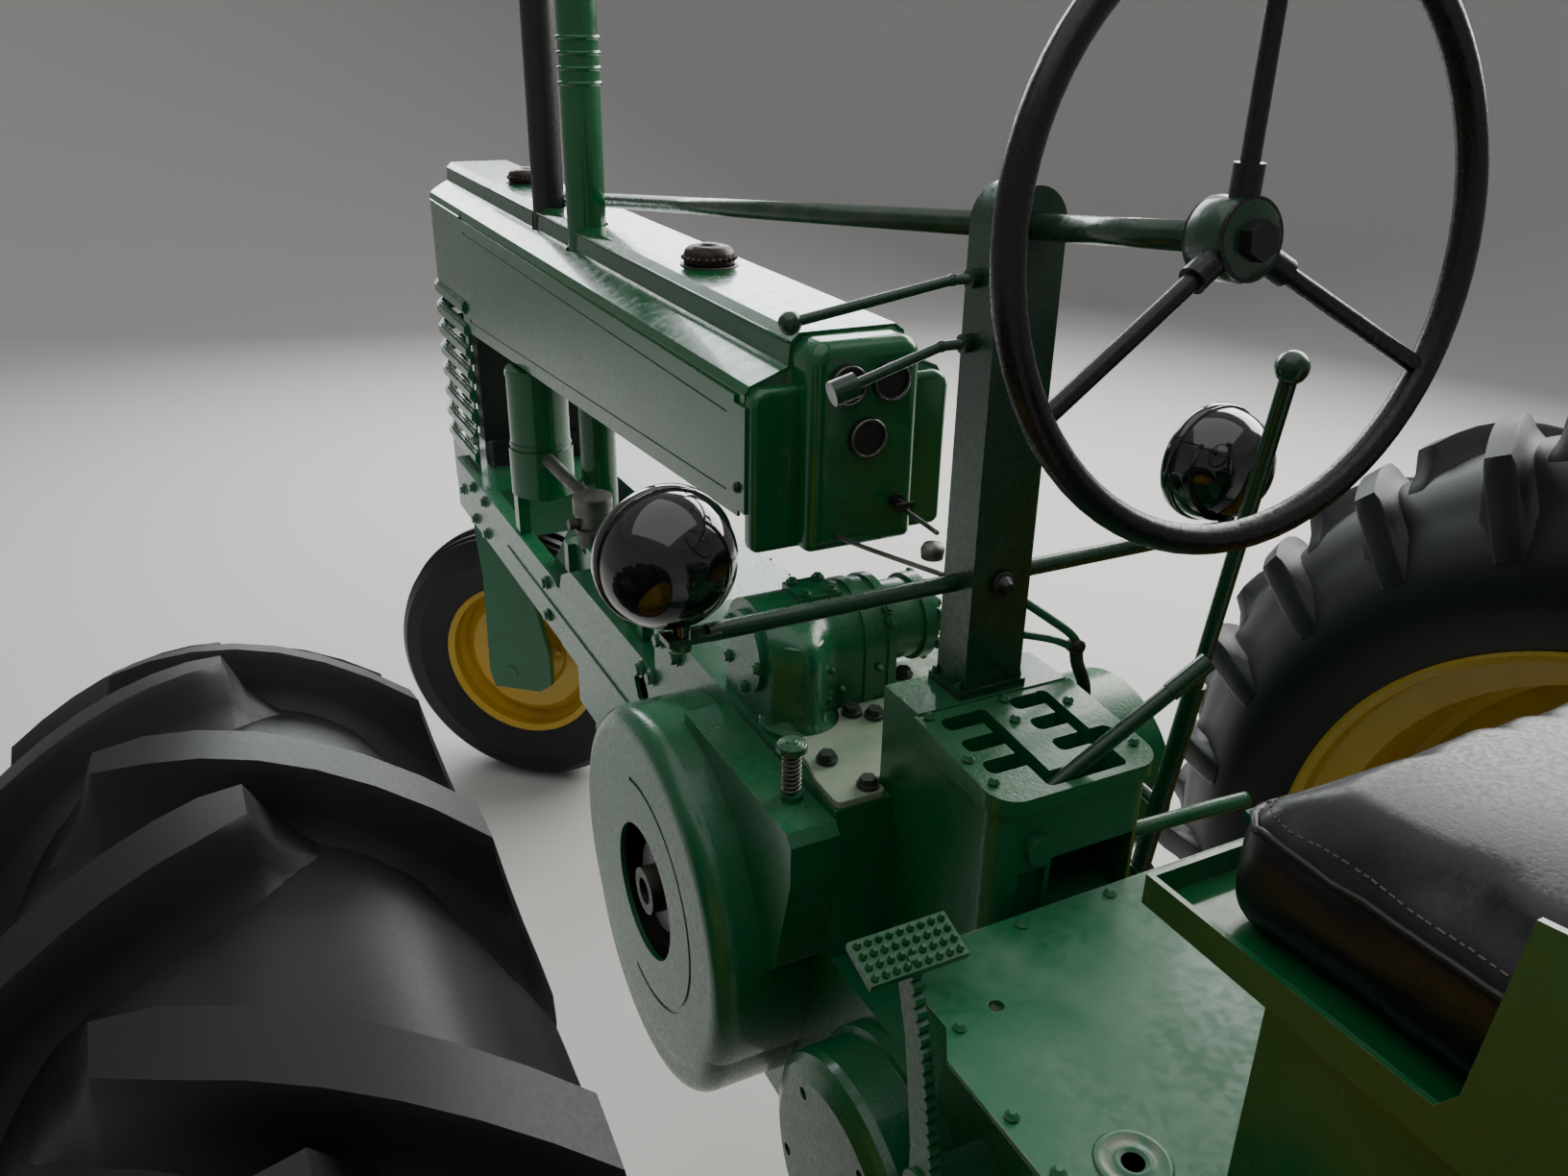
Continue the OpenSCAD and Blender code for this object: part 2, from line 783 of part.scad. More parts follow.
module steering_wheel() {
    color(black)
    steering_line()
    union() {
        rotate_extrude()
            translate([wheel_ring_r, -20])
                circle(r = 11.5);
        translate([0, 0, -12])
            cylinder(r = 30, h = 38);
        for (a = [60, 180, 300]) {
            rotate([0, 0, a])
                rod([22, 0, 0], [wheel_ring_r, 0, -20], 7);
            rotate([0, 0, a])
                rod([24, 0, 0], [52, 0, -3], 11);
        }
        translate([0, 0, -24])
            cylinder(r = 15, h = 14, $fn = 6);
        translate([0, 0, 20])
            cylinder(r = shaft_r, h = shaft_len - 20);
    }
}

module hand_levers() {
    side = post_half + gap;
    color(green)
    union() {
        bent_rod([
            [post_x + 34, side + 5, post_cz - 48], [post_x + 44, side + 18, post_cz - 50],
            [post_x + 80, 200, post_cz - 84]
        ], 5);
        translate([post_x + 80, 200, post_cz - 84]) sphere(r = 11);
        bar_y([post_x + 34, side, post_cz - 48], 9, 8);
    }
    color(green)
    union() {
        bent_rod([
            [post_x + 38, side + 5, post_cz - 108], [post_x + 52, side + 20, post_cz - 112],
            [post_x + 63, 150, post_cz - 145]
        ], 5);
        rod([post_x + 62, 140, post_cz - 142], [post_x + 64, 164, post_cz - 149], 12);
        bar_y([post_x + 38, side, post_cz - 108], 9, 8);
    }
}

module lamp_bar() {
    color(green)
    union() {
        bar_y([lamp_bar_x, 26 - lamp_y, lamp_bar_z], 9, 2 * lamp_y - 52);
        pair()
            block([lamp_bar_x - 12, lamp_y - 36, lamp_bar_z - 3],
                [lamp_bar_x + 12, lamp_y + 16, lamp_bar_z + 3]);
    }
}

module headlamps() {
    x = lamp_bar_x + 24;
    r = lamp_r - 2;
    color(black)
    pair()
    union() {
        translate([x - 57, lamp_y, lamp_z])
            rotate([0, 90, 0])
                rotate_extrude()
                    union() {
                        intersection() {
                            translate([0, 63]) circle(r = r, $fn = 64);
                            square_from([0, -20], [r + 1, 63]);
                        }
                        square_from([0, 62], [lamp_r, 76]);
                        intersection() {
                            translate([0, -30]) circle(r = 122, $fn = 64);
                            square_from([0, 70], [lamp_r - 6, 140]);
                        }
                    }
        bar_z([lamp_bar_x, lamp_y, lamp_bar_z + 3 + gap], 9, 30);
    }
}

module clutch_lever() {
    y = -case_half - 120;
    foot = [shift_front - 30, y, gearcase_z - 30];
    head = [post_x - 62, y, shift_z + 340];
    d = (head - foot) / norm(head - foot);
    color(green)
    union() {
        rod(foot, foot + d * 300, 12);
        rod(foot + d * 290, head, 9);
        translate(head) sphere(r = 17);
        bar_y(foot - [0, 14, 0], 22, 28);
        bar_y(foot - [0, 12, 0], 13, 132 - gap);
        rod(foot + d * 120, foot + d * 120 + [60, 0, 6], 8);
        bar_y(foot + d * 120 + [60, -16, 6], 14, 32);
    }
}

module brake_pedals() {
    x = shift_rear - 60;
    z = platform_z + 48;
    y = brake_y() - 22;
    color(green)
    pair()
    union() {
        translate([x, brake_y() - 67, z])
            rotate([0, -18, 0])
                block([-22, 0, -4], [22, 97, 4]);
        side_plate([
            [x + 10, z], [x - 12, z - 4], [x - 24, z - 40], [x - 40, z - 80], [x - 52, z - 130],
            [x - 66, gearcase_z + 30], [x - 72, gearcase_z], [x - 36, gearcase_z],
            [x - 34, gearcase_z + 40], [x - 24, z - 130], [x - 14, z - 78], [x, z - 38]
        ], y, y + 10);
        bar_y([x - 54, case_half + gap, gearcase_z], 22, y - case_half + 14);
    }
}

module brake_housings() {
    d = brake_y() - case_half;
    color(green)
    pair()
    difference() {
        turned_y([brake_x, case_half + gap, brake_z], [
            [0, 0], [brake_r, 0], [brake_r, 14], [brake_r - 7, 16], [brake_r - 7, d - 22],
            [brake_r - 10, d - 13], [brake_r - 18, d - 7],
            [brake_r - 34, d - gap], [0, d - gap]
        ]);
        for (a = [20 : 72 : 360])
            translate([brake_x, case_half + d - 30, brake_z])
                rotate([0, a, 0])
                    translate([brake_r - 48, 0, 0])
                        rotate([-90, 0, 0])
                            cylinder(r = 7, h = 60);
    }
}

module starter_button() {
    p = [crank_x - 227, case_half + 23, crankcase_z - 10 + gap];
    color(green)
    union() {
        bar_z(p, 13, 7);
        bar_z(p, 6, 62);
        bar_z(p + [0, 0, 60], 17, 6);
        bar_z(p + [0, 0, 65], 12, 3);
        bar_z(p + [0, 0, 67], 6, 3);
    }
}

module platform() {
    front = shift_rear - 17;
    half = brake_y() - 29;
    wide = brake_y() - 10;
    color([0.45, 0.5, 0.36])
    difference() {
        union() {
            translate([0, 0, platform_z - 5])
                linear_extrude(5)
                    polygon([
                        [front, -half], [front, half], [front - 92, half], [front - 122, wide],
                        [seat_rear, wide], [seat_rear, -wide], [front - 122, -wide],
                        [front - 92, -half]
                    ]);
            pair()
            side_plate([
                [front - 280, platform_z - 4], [front - 280, platform_z + 12],
                [seat_rear, platform_z + 12],
                [seat_rear, platform_z - 4]
            ], wide - 4, wide);
        }
        bar_z([front - 89, 163, platform_z - 10], 7, 20);
        bar_z([front - 265, 166, platform_z - 10], 9, 20);
    }
}

module battery_box() {
    x0 = seat_rear + 10;
    x1 = seat_front - 80;
    color(green)
    difference() {
        union() {
            block([x0, 3 - seat_half, platform_z + gap], [x1, seat_half - 3, pan_z - 4 - gap]);
            block([x1 - 1, 40 - seat_half, platform_z + 30], [x1 + 3, seat_half - 40, pan_z - 40]);
        }
        block([x0 + skin, 7 - seat_half, platform_z - 1], [x1 - skin, seat_half - 7, pan_z - 8]);
    }
}

module seat_pan() {
    x0 = seat_rear - 75;
    x1 = seat_front + 9;
    h = seat_half + 5;
    color(green)
    union() {
        block([x0, -h - 4, pan_z - 4], [x1 + 4, h + 4, pan_z]);
        block([x1, -h - 4, pan_z - 1], [x1 + 4, h + 4, pan_z + 18]);
        block([x0, -h - 4, pan_z - 1], [x0 + 4, h + 4, pan_z + 180]);
        pair()
        side_plate([
            [x0, pan_z - 1], [x1 + 4, pan_z - 1], [x1 + 4, pan_z + 18], [seat_front - 190, pan_z + 20],
            [seat_front - 200, pan_z + 36], [seat_front - 208, pan_z + 146], [x0, pan_z + 180]
        ], h, h + 4);
    }
}

module seat_cushion() {
    color(black)
    translate([0, 0, pan_z + gap])
        linear_extrude(seat_top_z - pan_z - gap)
            round_plate([seat_rear, -seat_half], [seat_front, seat_half], 26);
}

module seat_back() {
    color(black)
    cross_plate([
        [-seat_half, pan_z + gap], [seat_half, pan_z + gap], [seat_half, seat_top_z + 130],
        [seat_half - 40, seat_top_z + 165], [40 - seat_half, seat_top_z + 165],
        [-seat_half, seat_top_z + 130]
    ], seat_rear - 71 + gap, seat_rear - 6);
}

module drawbar() {
    z = drawbar_z;
    color(black)
    difference() {
        union() {
            block([-700, -32, z], [500, 32, z + 32]);
            block([-80, -60, z + 31], [60, 60, z + 70 - gap]);
            block([340, -60, z + 31], [415, 60, z + 70 - gap]);
        }
        bar_z([-660, 0, z - 10], drawbar_pin_r, 60);
    }
}

module pto_shaft() {
    color([0.6, 0.6, 0.6])
    union() {
        bar_x([case_rear - 120, 0, pto_z], pto_r, 110);
        bar_x([case_rear - 11, 0, pto_z], pto_r - 2.4, 110);
    }
}

// The steered parts turn together about the vertical spindle.
module steered() {
    translate([wheelbase, 0, 0]) rotate([0, 0, steer_rest_deg]) children();
}

module front_fork() {
    half = ft_edge + 23;
    color(green)
    steered()
    union() {
        bar_z([0, 0, fork_z + 6], spindle_r, 285);
        bar_y([0, -half - 24, front_tyre_r], front_axle_r, 2 * half + 48);
        block([-62, -half - 22, fork_z], [62, half + 22, fork_z + 32]);
        pair()
        side_plate([
            [62, fork_z + 1], [-62, fork_z + 1], [-62, fork_z - 104],
            [-105, front_tyre_r + 55], [-105, front_tyre_r - 25],
            [-75, front_tyre_r - 45], [45, front_tyre_r - 45], [56, front_tyre_r], [52, fork_z - 104]
        ], half, half + 22);
    }
}

module front_rim() {
    hub = ft_edge + 17;
    r = front_rim_r - gap;
    color(yellow)
    steered()
    turned_y([0, 0, front_tyre_r], [
        [front_axle_r + gap, -hub], [46, -hub], [46, -34], [92, -8], [104, 6], [150, 14], [168, -8],
            [180, -10],
        [188, -40], [188, -58], [r, -66], [r, 66], [188, 58], [188, 30], [176, 6], [150, 26], [100, 18],
        [88, 4], [46, -16], [46, hub], [front_axle_r + gap, hub]
    ]);
}

module front_tyre() {
    color(black)
    steered()
    turned_y([0, 0, front_tyre_r], concat(
        [for (p = front_tyre_edge) [p[0], -p[1]]],
        [for (i = [1 : len(front_tyre_edge)]) front_tyre_edge[len(front_tyre_edge) - i]]
    ));
}

module rear_rim() {
    r = rear_rim_r - gap;
    color(yellow)
    turned_y([0, rear_tread_half, rear_tyre_r], [
        [0, -260], [axle_r, -260], [axle_r, -80], [96, -80], [104, -52], [150, -40], [300, 20],
        [418, 52],
        [430, 40], [430, -60], [466, -86], [466, -104], [r - 8, -112], [r, -108], [r, 108], [r - 8, 112],
        [466, 104], [466, 86], [436, 64], [418, 64], [300, 32], [150, -28], [96, -24], [80, 80],
        [axle_r, 84],
        [axle_r, 200], [0, 200]
    ]);
}

module rear_tyre(side) {
    r = rear_tyre_r;
    h = rear_tyre_w / 2;
    color(black)
    translate([0, side * rear_tread_half, r])
    union() {
        rotate([-90, 0, 0])
            rotate_extrude()
                polygon([
                    [rear_rim_r, -h + 33], [500, -h + 23], [540, -h + 6], [580, -h], [r - 125, -h + 9],
                    [r - 98, -h + 26], [r - 74, -h + 46], [r - 50, -h + 72], [r - 38, -h + 104],
                    [r - 34, 0],
                    [r - 38, h - 104], [r - 50, h - 72], [r - 74, h - 46], [r - 98, h - 26],
                    [r - 125, h - 9], [580, h], [540, h - 6], [500, h - 23], [rear_rim_r, h - 33]
                ]);
        for (i = [0 : lug_count - 1]) {
            rotate([0, i * 360 / lug_count, 0])
                lug();
            rotate([0, (i + 0.5) * 360 / lug_count, 0])
                mirror([0, 1, 0])
                    lug();
        }
    }
}

// One slanted bar of the chevron tread, at the top of the tyre, its inner end leading.
module lug() {
    r = rear_tyre_r;
    intersection() {
        translate([40, 0, 0])
            rotate([0, 0, 117])
                translate([0, lug_w / 2, 0])
                    rotate([90, 0, 0])
                        linear_extrude(lug_w)
                            polygon([
                                [-8, r - 70], [-8, r + 15], [40, r + 15], [66, r - 6], [100, r - 27],
                                [128, r - 46], [144, r - 53], [156, r - 100], [120, r - 120],
                                [60, r - 75]
                            ]);
        bar_y([0, -rear_tyre_w / 2, 0], r, rear_tyre_w);
    }
}

// Moves a finished piece so that the origin is under the middle of the overall length.
module place() {
    translate([shift_x, 0, 0]) children();
}

place() main_case();
place() rear_axle_housings();
place() engine_block();
place() frame_rails();
place() front_pedestal();
place() radiator();
place() grille_shell();
place() hood();
place() hood_sides();
place() dash_cowl();
place() gauges();
place() filler_caps();
place() exhaust_stack();
place() intake_stack();
place() air_cleaner();
place() intake_pipes();
place() governor_housing();
place() flywheel_cover();
place() flywheel();
place() belt_pulley();
place() shift_case();
place() gear_lever();
place() steering_post();
place() steering_wheel();
place() hand_levers();
place() lamp_bar();
place() headlamps();
place() clutch_lever();
place() brake_pedals();
place() brake_housings();
place() starter_button();
place() platform();
place() battery_box();
place() seat_pan();
place() seat_cushion();
place() seat_back();
place() drawbar();
place() pto_shaft();
place() front_fork();
place() front_rim();
place() front_tyre();
place() rear_rim();  // rear_rim_left
place() mirror([0, 1, 0]) rear_rim();  // rear_rim_right
place() rear_tyre(1);  // rear_tyre_left
place() rear_tyre(-1);  // rear_tyre_right
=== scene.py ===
import math
import bmesh
import bpy
from mathutils import Matrix, Vector
from mathutils.bvhtree import BVHTree


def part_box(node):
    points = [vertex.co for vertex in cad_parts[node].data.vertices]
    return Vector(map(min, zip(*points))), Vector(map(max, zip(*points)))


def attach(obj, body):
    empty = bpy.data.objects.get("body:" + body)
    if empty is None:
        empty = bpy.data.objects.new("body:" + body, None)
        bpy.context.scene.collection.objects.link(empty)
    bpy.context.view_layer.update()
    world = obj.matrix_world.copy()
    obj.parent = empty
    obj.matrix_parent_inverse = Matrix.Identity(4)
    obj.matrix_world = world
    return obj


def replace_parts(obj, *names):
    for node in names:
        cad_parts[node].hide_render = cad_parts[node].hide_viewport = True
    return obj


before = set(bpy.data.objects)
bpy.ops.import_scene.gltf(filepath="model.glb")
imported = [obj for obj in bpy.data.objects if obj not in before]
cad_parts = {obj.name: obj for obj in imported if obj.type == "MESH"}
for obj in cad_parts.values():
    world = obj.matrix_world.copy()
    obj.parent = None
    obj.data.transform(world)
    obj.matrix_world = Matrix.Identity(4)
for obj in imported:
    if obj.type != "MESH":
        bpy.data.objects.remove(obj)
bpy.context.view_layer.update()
print("stage: frame loaded")

# lengths along x are given from the rear axle, as in the part's source
tyreLow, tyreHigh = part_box("rear_tyre_left")
axleX = (tyreLow[0] + tyreHigh[0]) / 2
bothSides = ((1, "Left"), (-1, "Right"))


def at(x, y, z):
    return Vector((x + axleX, y, z))


def newObject(name, data):
    made = bpy.data.objects.new(name, data)
    bpy.context.scene.collection.objects.link(made)
    return made


# place and directions of the photograph's camera, solved from the steering wheel, post, hood and tyres
camera = dict(place=(-0.5116, 0.6974, 1.7954), lens=28.2, sensor=36, nearest=0.02,
              right=(-0.4465, -0.8947, 0.0142), down=(-0.3737, 0.1721, -0.9115),
              forward=(0.8130, -0.4123, -0.4112))


def makeCamera():
    data = bpy.data.cameras.new("viewCamera")
    data.sensor_width, data.lens, data.clip_start = camera["sensor"], camera["lens"], camera["nearest"]
    viewer = newObject("viewCamera", data)
    right, down, forward = (Vector(camera[word]).normalized() for word in ("right", "down", "forward"))
    turn = Matrix((right, -down, -forward)).transposed().to_4x4()
    viewer.matrix_world = Matrix.Translation(at(*camera["place"])) @ turn
    bpy.context.scene.camera = viewer


makeCamera()


# a node group: inputs as (label, kind, value or None), outputs as (label, kind)
def newGroup(name, inputs, outputs, treeKind="ShaderNodeTree"):
    tree = bpy.data.node_groups.new(name, treeKind)
    for label, kind, value in inputs:
        socket = tree.interface.new_socket(label, in_out="INPUT", socket_type="NodeSocket" + kind)
        if value is not None:
            socket.default_value = value
    for label, kind in outputs:
        tree.interface.new_socket(label, in_out="OUTPUT", socket_type="NodeSocket" + kind)
    return tree, tree.nodes.new("NodeGroupInput"), tree.nodes.new("NodeGroupOutput")


# each input is a plain value, or the socket that it is linked from
def give(tree, node, inputs):
    for key, value in inputs.items():
        if isinstance(value, bpy.types.NodeSocket):
            tree.links.new(value, node.inputs[key])
        else:
            node.inputs[key].default_value = value
    return node


def addNode(tree, kind, inputs=None, **settings):
    node = tree.nodes.new(kind)
    for key, value in settings.items():
        setattr(node, key, value)
    return give(tree, node, inputs or {})


def ramp(tree, source, low, high, lowValue=0.0, highValue=1.0):
    limits = {"From Min": low, "From Max": high, "To Min": lowValue, "To Max": highValue, "Value": source}
    node = addNode(tree, "ShaderNodeMapRange", limits, clamp=True, interpolation_type="SMOOTHSTEP")
    return node.outputs["Result"]


def maths(tree, operation, a, b):
    return addNode(tree, "ShaderNodeMath", {0: a, 1: b}, operation=operation).outputs[0]


def mixColour(tree, mask, first, second):
    return addNode(tree, "ShaderNodeMix", {0: mask, 6: first, 7: second}, data_type="RGBA").outputs[2]


# a texture in the object's own space
def texture(tree, kind, scale, **inputs):
    coords = addNode(tree, "ShaderNodeTexCoord").outputs["Object"]
    return addNode(tree, "ShaderNodeTex" + kind, dict(inputs, Vector=coords, Scale=scale)).outputs


# a mask where both parts are high, times the group's amount
def giveMask(tree, start, end, first, second):
    both = maths(tree, "MULTIPLY", first, second)
    give(tree, end, {"Mask": maths(tree, "MULTIPLY", both, start.outputs["Amount"])})


# chips and worn edges: patchy noise on sharp corners
def buildWearGroup():
    tree, start, end = newGroup(
        "wornEdges", [("Amount", "Float", 0.5), ("Scale", "Float", 30.0), ("Width", "Float", 0.004)],
        [("Mask", "Float")])
    noise = texture(tree, "Noise", start.outputs["Scale"], Detail=6, Roughness=0.65)
    bevel = addNode(tree, "ShaderNodeBevel", {"Radius": start.outputs["Width"]}, samples=4)
    geometry = addNode(tree, "ShaderNodeNewGeometry")
    normals = {0: bevel.outputs["Normal"], 1: geometry.outputs["True Normal"]}
    dot = addNode(tree, "ShaderNodeVectorMath", normals, operation="DOT_PRODUCT")
    edge = ramp(tree, dot.outputs["Value"], 0.985, 0.80)
    giveMask(tree, start, end, edge, ramp(tree, noise["Fac"], 0.46, 0.62))
    return tree


# dust that settles on faces that look up, broken up by soft noise
def buildDustGroup():
    tree, start, end = newGroup(
        "settledDust", [("Amount", "Float", 0.4), ("Scale", "Float", 9.0)], [("Mask", "Float")])
    noise = texture(tree, "Noise", start.outputs["Scale"], Detail=8)
    geometry = addNode(tree, "ShaderNodeNewGeometry")
    split = addNode(tree, "ShaderNodeSeparateXYZ", {0: geometry.outputs["Normal"]})
    upward = ramp(tree, split.outputs["Z"], 0.2, 1.0)
    giveMask(tree, start, end, upward, ramp(tree, noise["Fac"], 0.40, 0.75))
    return tree


# small unevenness: a height with pits, and a grey value
def buildGrainGroup():
    tree, start, end = newGroup(
        "surfaceGrain", [("Scale", "Float", 200.0), ("Pits", "Float", 0.3)],
        [("Height", "Float"), ("Value", "Float")])
    noise = texture(tree, "Noise", start.outputs["Scale"], Detail=5)
    cells = texture(tree, "Voronoi", start.outputs["Scale"])
    pitted = maths(tree, "MULTIPLY", ramp(tree, cells["Distance"], 0.05, 0.30), start.outputs["Pits"])
    give(tree, end, {"Height": maths(tree, "ADD", noise["Fac"], pitted), "Value": noise["Fac"]})
    return tree


wornEdges = buildWearGroup()
settledDust = buildDustGroup()
surfaceGrain = buildGrainGroup()

# what a finish has where its own look says nothing else
plainLook = dict(rough=0.35, roughSpread=0.12, metal=0.0, specular=0.5, coat=0.0, coatRough=0.1, bump=0.1,
                 bumpDistance=0.001, grainScale=180, pits=0.3, broadScale=5, wear=0.4, wearScale=25,
                 wearWidth=0.004, wearColour=(0.35, 0.36, 0.33), dust=0.15, dustScale=9,
                 dustColour=(0.30, 0.27, 0.21), dustRough=0.5)


def finish(name, own):
    look = {**plainLook, "second": own["colour"], **own}
    first, second, dustColour, wearColour = (
        look[word] + (1,) for word in ("colour", "second", "dustColour", "wearColour"))
    material = bpy.data.materials.new(name)
    material.use_nodes = True
    tree = material.node_tree

    def group(kind, **inputs):
        return addNode(tree, "ShaderNodeGroup", inputs, node_tree=kind).outputs

    grain = group(surfaceGrain, Scale=look["grainScale"], Pits=look["pits"])
    wear = group(wornEdges, Amount=look["wear"], Scale=look["wearScale"], Width=look["wearWidth"])["Mask"]
    dust = group(settledDust, Amount=look["dust"], Scale=look["dustScale"])["Mask"]
    broad = texture(tree, "Noise", look["broadScale"], Detail=6)
    tone = mixColour(tree, ramp(tree, broad["Fac"], 0.3, 0.7), first, second)
    dusty = mixColour(tree, dust, tone, dustColour)
    low, high = look["rough"] - look["roughSpread"], look["rough"] + look["roughSpread"]
    roughness = ramp(tree, grain["Value"], 0.3, 0.7, low, high)
    bump = addNode(tree, "ShaderNodeBump", {
        "Strength": look["bump"], "Distance": look["bumpDistance"], "Height": grain["Height"]})
    give(tree, tree.nodes["Principled BSDF"], {
        "Base Color": mixColour(tree, wear, dusty, wearColour),
        "Roughness": maths(tree, "ADD", roughness, maths(tree, "MULTIPLY", dust, look["dustRough"])),
        "Normal": bump.outputs["Normal"], "Metallic": look["metal"], "Coat Weight": look["coat"],
        "Coat Roughness": look["coatRough"], "Specular IOR Level": look["specular"]})
    return material


looks = dict(
    sheetGreen=dict(colour=(0.003, 0.095, 0.026), second=(0.005, 0.12, 0.038), rough=0.22,
        roughSpread=0.06, coat=0.4, coatRough=0.06, bump=0.03, grainScale=60, wear=0.9, wearScale=26,
        wearWidth=0.0014, dust=0.05, wearColour=(0.13, 0.16, 0.12)),
    castGreen=dict(colour=(0.003, 0.105, 0.034), second=(0.006, 0.14, 0.052), rough=0.34, roughSpread=0.08,
        coat=0.4, coatRough=0.15, bump=0.35, bumpDistance=0.0012, grainScale=170, pits=0.5, wear=0.8,
        wearScale=30, wearWidth=0.0025, dust=0.1, wearColour=(0.12, 0.16, 0.11)),
    darkGreen=dict(colour=(0.004, 0.038, 0.015), second=(0.006, 0.055, 0.02), rough=0.3, roughSpread=0.08,
        coat=0.4, coatRough=0.12, bump=0.2, grainScale=150, wear=0.8, wearScale=35, wearWidth=0.002,
        dust=0.08, wearColour=(0.12, 0.14, 0.11)),
    shaftGreen=dict(colour=(0.005, 0.05, 0.018), second=(0.04, 0.07, 0.045), rough=0.3, roughSpread=0.1,
        coat=0.3, coatRough=0.12, bump=0.25, grainScale=140, wear=0.0, dust=0.3, dustScale=30,
        dustColour=(0.12, 0.13, 0.11), broadScale=26),
    paleGreen=dict(colour=(0.26, 0.34, 0.24), second=(0.15, 0.24, 0.14), rough=0.5, bump=0.3,
        grainScale=120, wear=0.8, dust=0.5, dustScale=22, broadScale=12, wearColour=(0.05, 0.06, 0.05)),
    greasyBolt=dict(colour=(0.018, 0.026, 0.02), second=(0.03, 0.05, 0.034), rough=0.45, metal=0.3,
        bump=0.4, grainScale=260, wear=0.7, dust=0.2, broadScale=60, wearColour=(0.1, 0.1, 0.09)),
    wheelYellow=dict(colour=(0.55, 0.33, 0.012), second=(0.62, 0.4, 0.02), rough=0.38, coat=0.3, bump=0.12,
        grainScale=90, wear=0.6, dust=0.3, wearColour=(0.2, 0.13, 0.06)),
    lampBlack=dict(colour=(0.004, 0.004, 0.005), second=(0.007, 0.007, 0.008), rough=0.1, roughSpread=0.04,
        coat=1.0, coatRough=0.03, bump=0.02, wear=0.2, dust=0.05, wearColour=(0.1, 0.1, 0.1)),
    plainBlack=dict(colour=(0.01, 0.012, 0.011), second=(0.016, 0.018, 0.017), rough=0.42, coat=0.1,
        bump=0.2, grainScale=200, wear=0.8, dust=0.2, wearColour=(0.2, 0.2, 0.19)),
    wheelPlastic=dict(colour=(0.006, 0.006, 0.007), second=(0.01, 0.01, 0.011), rough=0.33, bump=0.06,
        grainScale=300, wear=0.3, dust=0.08, wearColour=(0.07, 0.07, 0.07)),
    rubber=dict(colour=(0.006, 0.006, 0.007), second=(0.009, 0.009, 0.01), specular=0.38, rough=0.46,
        roughSpread=0.03, bump=0.05, bumpDistance=0.0008, grainScale=420, wear=0.35, wearScale=12,
        dust=0.1, dustScale=3, dustColour=(0.035, 0.035, 0.035), wearColour=(0.03, 0.03, 0.029),
        broadScale=3),
    rustyCap=dict(colour=(0.03, 0.024, 0.02), second=(0.07, 0.045, 0.032), rough=0.42, bump=0.5,
        grainScale=220, wear=0.8, wearColour=(0.2, 0.17, 0.14), metal=0.5, broadScale=40),
    bareSteel=dict(colour=(0.22, 0.22, 0.21), second=(0.12, 0.11, 0.1), rough=0.45, metal=0.8, bump=0.25,
        grainScale=160, wear=0.5, dust=0.3, broadScale=20),
    wornPlate=dict(colour=(0.01, 0.15, 0.06), second=(0.06, 0.21, 0.115), rough=0.42, coat=0.15, bump=0.12,
        grainScale=110, wear=0.9, wearScale=20, dust=0.55, dustScale=14, dustColour=(0.15, 0.27, 0.19),
        wearColour=(0.28, 0.29, 0.24), broadScale=3),
    dialBlack=dict(colour=(0.01, 0.011, 0.012), rough=0.45, coat=0.15, bump=0.0, wear=0.1, dust=0.0),
    blackVinyl=dict(colour=(0.008, 0.008, 0.01), second=(0.013, 0.013, 0.016), rough=0.36,
        roughSpread=0.08, bump=0.16, bumpDistance=0.0006, grainScale=320, pits=0.6, wear=0.1, dust=0.1,
        wearColour=(0.05, 0.05, 0.05), dustColour=(0.1, 0.11, 0.13)),
    paleThread=dict(colour=(0.2, 0.15, 0.12), second=(0.13, 0.1, 0.09), rough=0.8, bump=0.3,
        grainScale=900, wear=0.0, dust=0.0),
    dialWhite=dict(colour=(0.14, 0.14, 0.13), rough=0.6, bump=0.0, wear=0.0, dust=0.0),
    lampGlass=dict(colour=(0.3, 0.31, 0.3), second=(0.38, 0.39, 0.37), rough=0.12, coat=1.0,
        coatRough=0.03, bump=0.05, grainScale=60, wear=0.0, dust=0.1),
    brightRim=dict(colour=(0.2, 0.2, 0.19), second=(0.12, 0.12, 0.11), rough=0.3, metal=1.0, bump=0.05,
        wear=0.3, dust=0.1))
finishes = {name: finish(name, look) for name, look in looks.items()}
print("stage: finishes made")

nodeFinishes = dict(
    castGreen="main_case rear_axle_housings engine_block front_pedestal governor_housing shift_case "
              "frame_rails brake_housings belt_pulley front_fork flywheel_cover brake_pedals starter_button",
    sheetGreen="grille_shell hood hood_sides dash_cowl exhaust_stack air_cleaner battery_box seat_pan",
    darkGreen="hand_levers lamp_bar gear_lever clutch_lever steering_post",
    plainBlack="radiator intake_stack flywheel", lampBlack="headlamps", dialBlack="gauges",
    rustyCap="filler_caps", bareSteel="intake_pipes drawbar pto_shaft", wheelPlastic="steering_wheel",
    wornPlate="platform", blackVinyl="seat_cushion seat_back",
    wheelYellow="front_rim rear_rim_left rear_rim_right",
    rubber="front_tyre rear_tyre_left rear_tyre_right")
for finishName, nodeNames in nodeFinishes.items():
    for nodeName in nodeNames.split():
        for cadSlot in bpy.data.objects[nodeName].material_slots:
            cadSlot.material = finishes[finishName]


def dress(piece, finishName, body="tractor"):
    piece.data.materials.clear()
    piece.data.materials.append(finishes[finishName])
    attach(piece, body)
    return piece


def meshOf(name, verts, faces, edges=()):
    mesh = bpy.data.meshes.new(name)
    mesh.from_pydata([tuple(v) for v in verts], edges, faces)
    return mesh


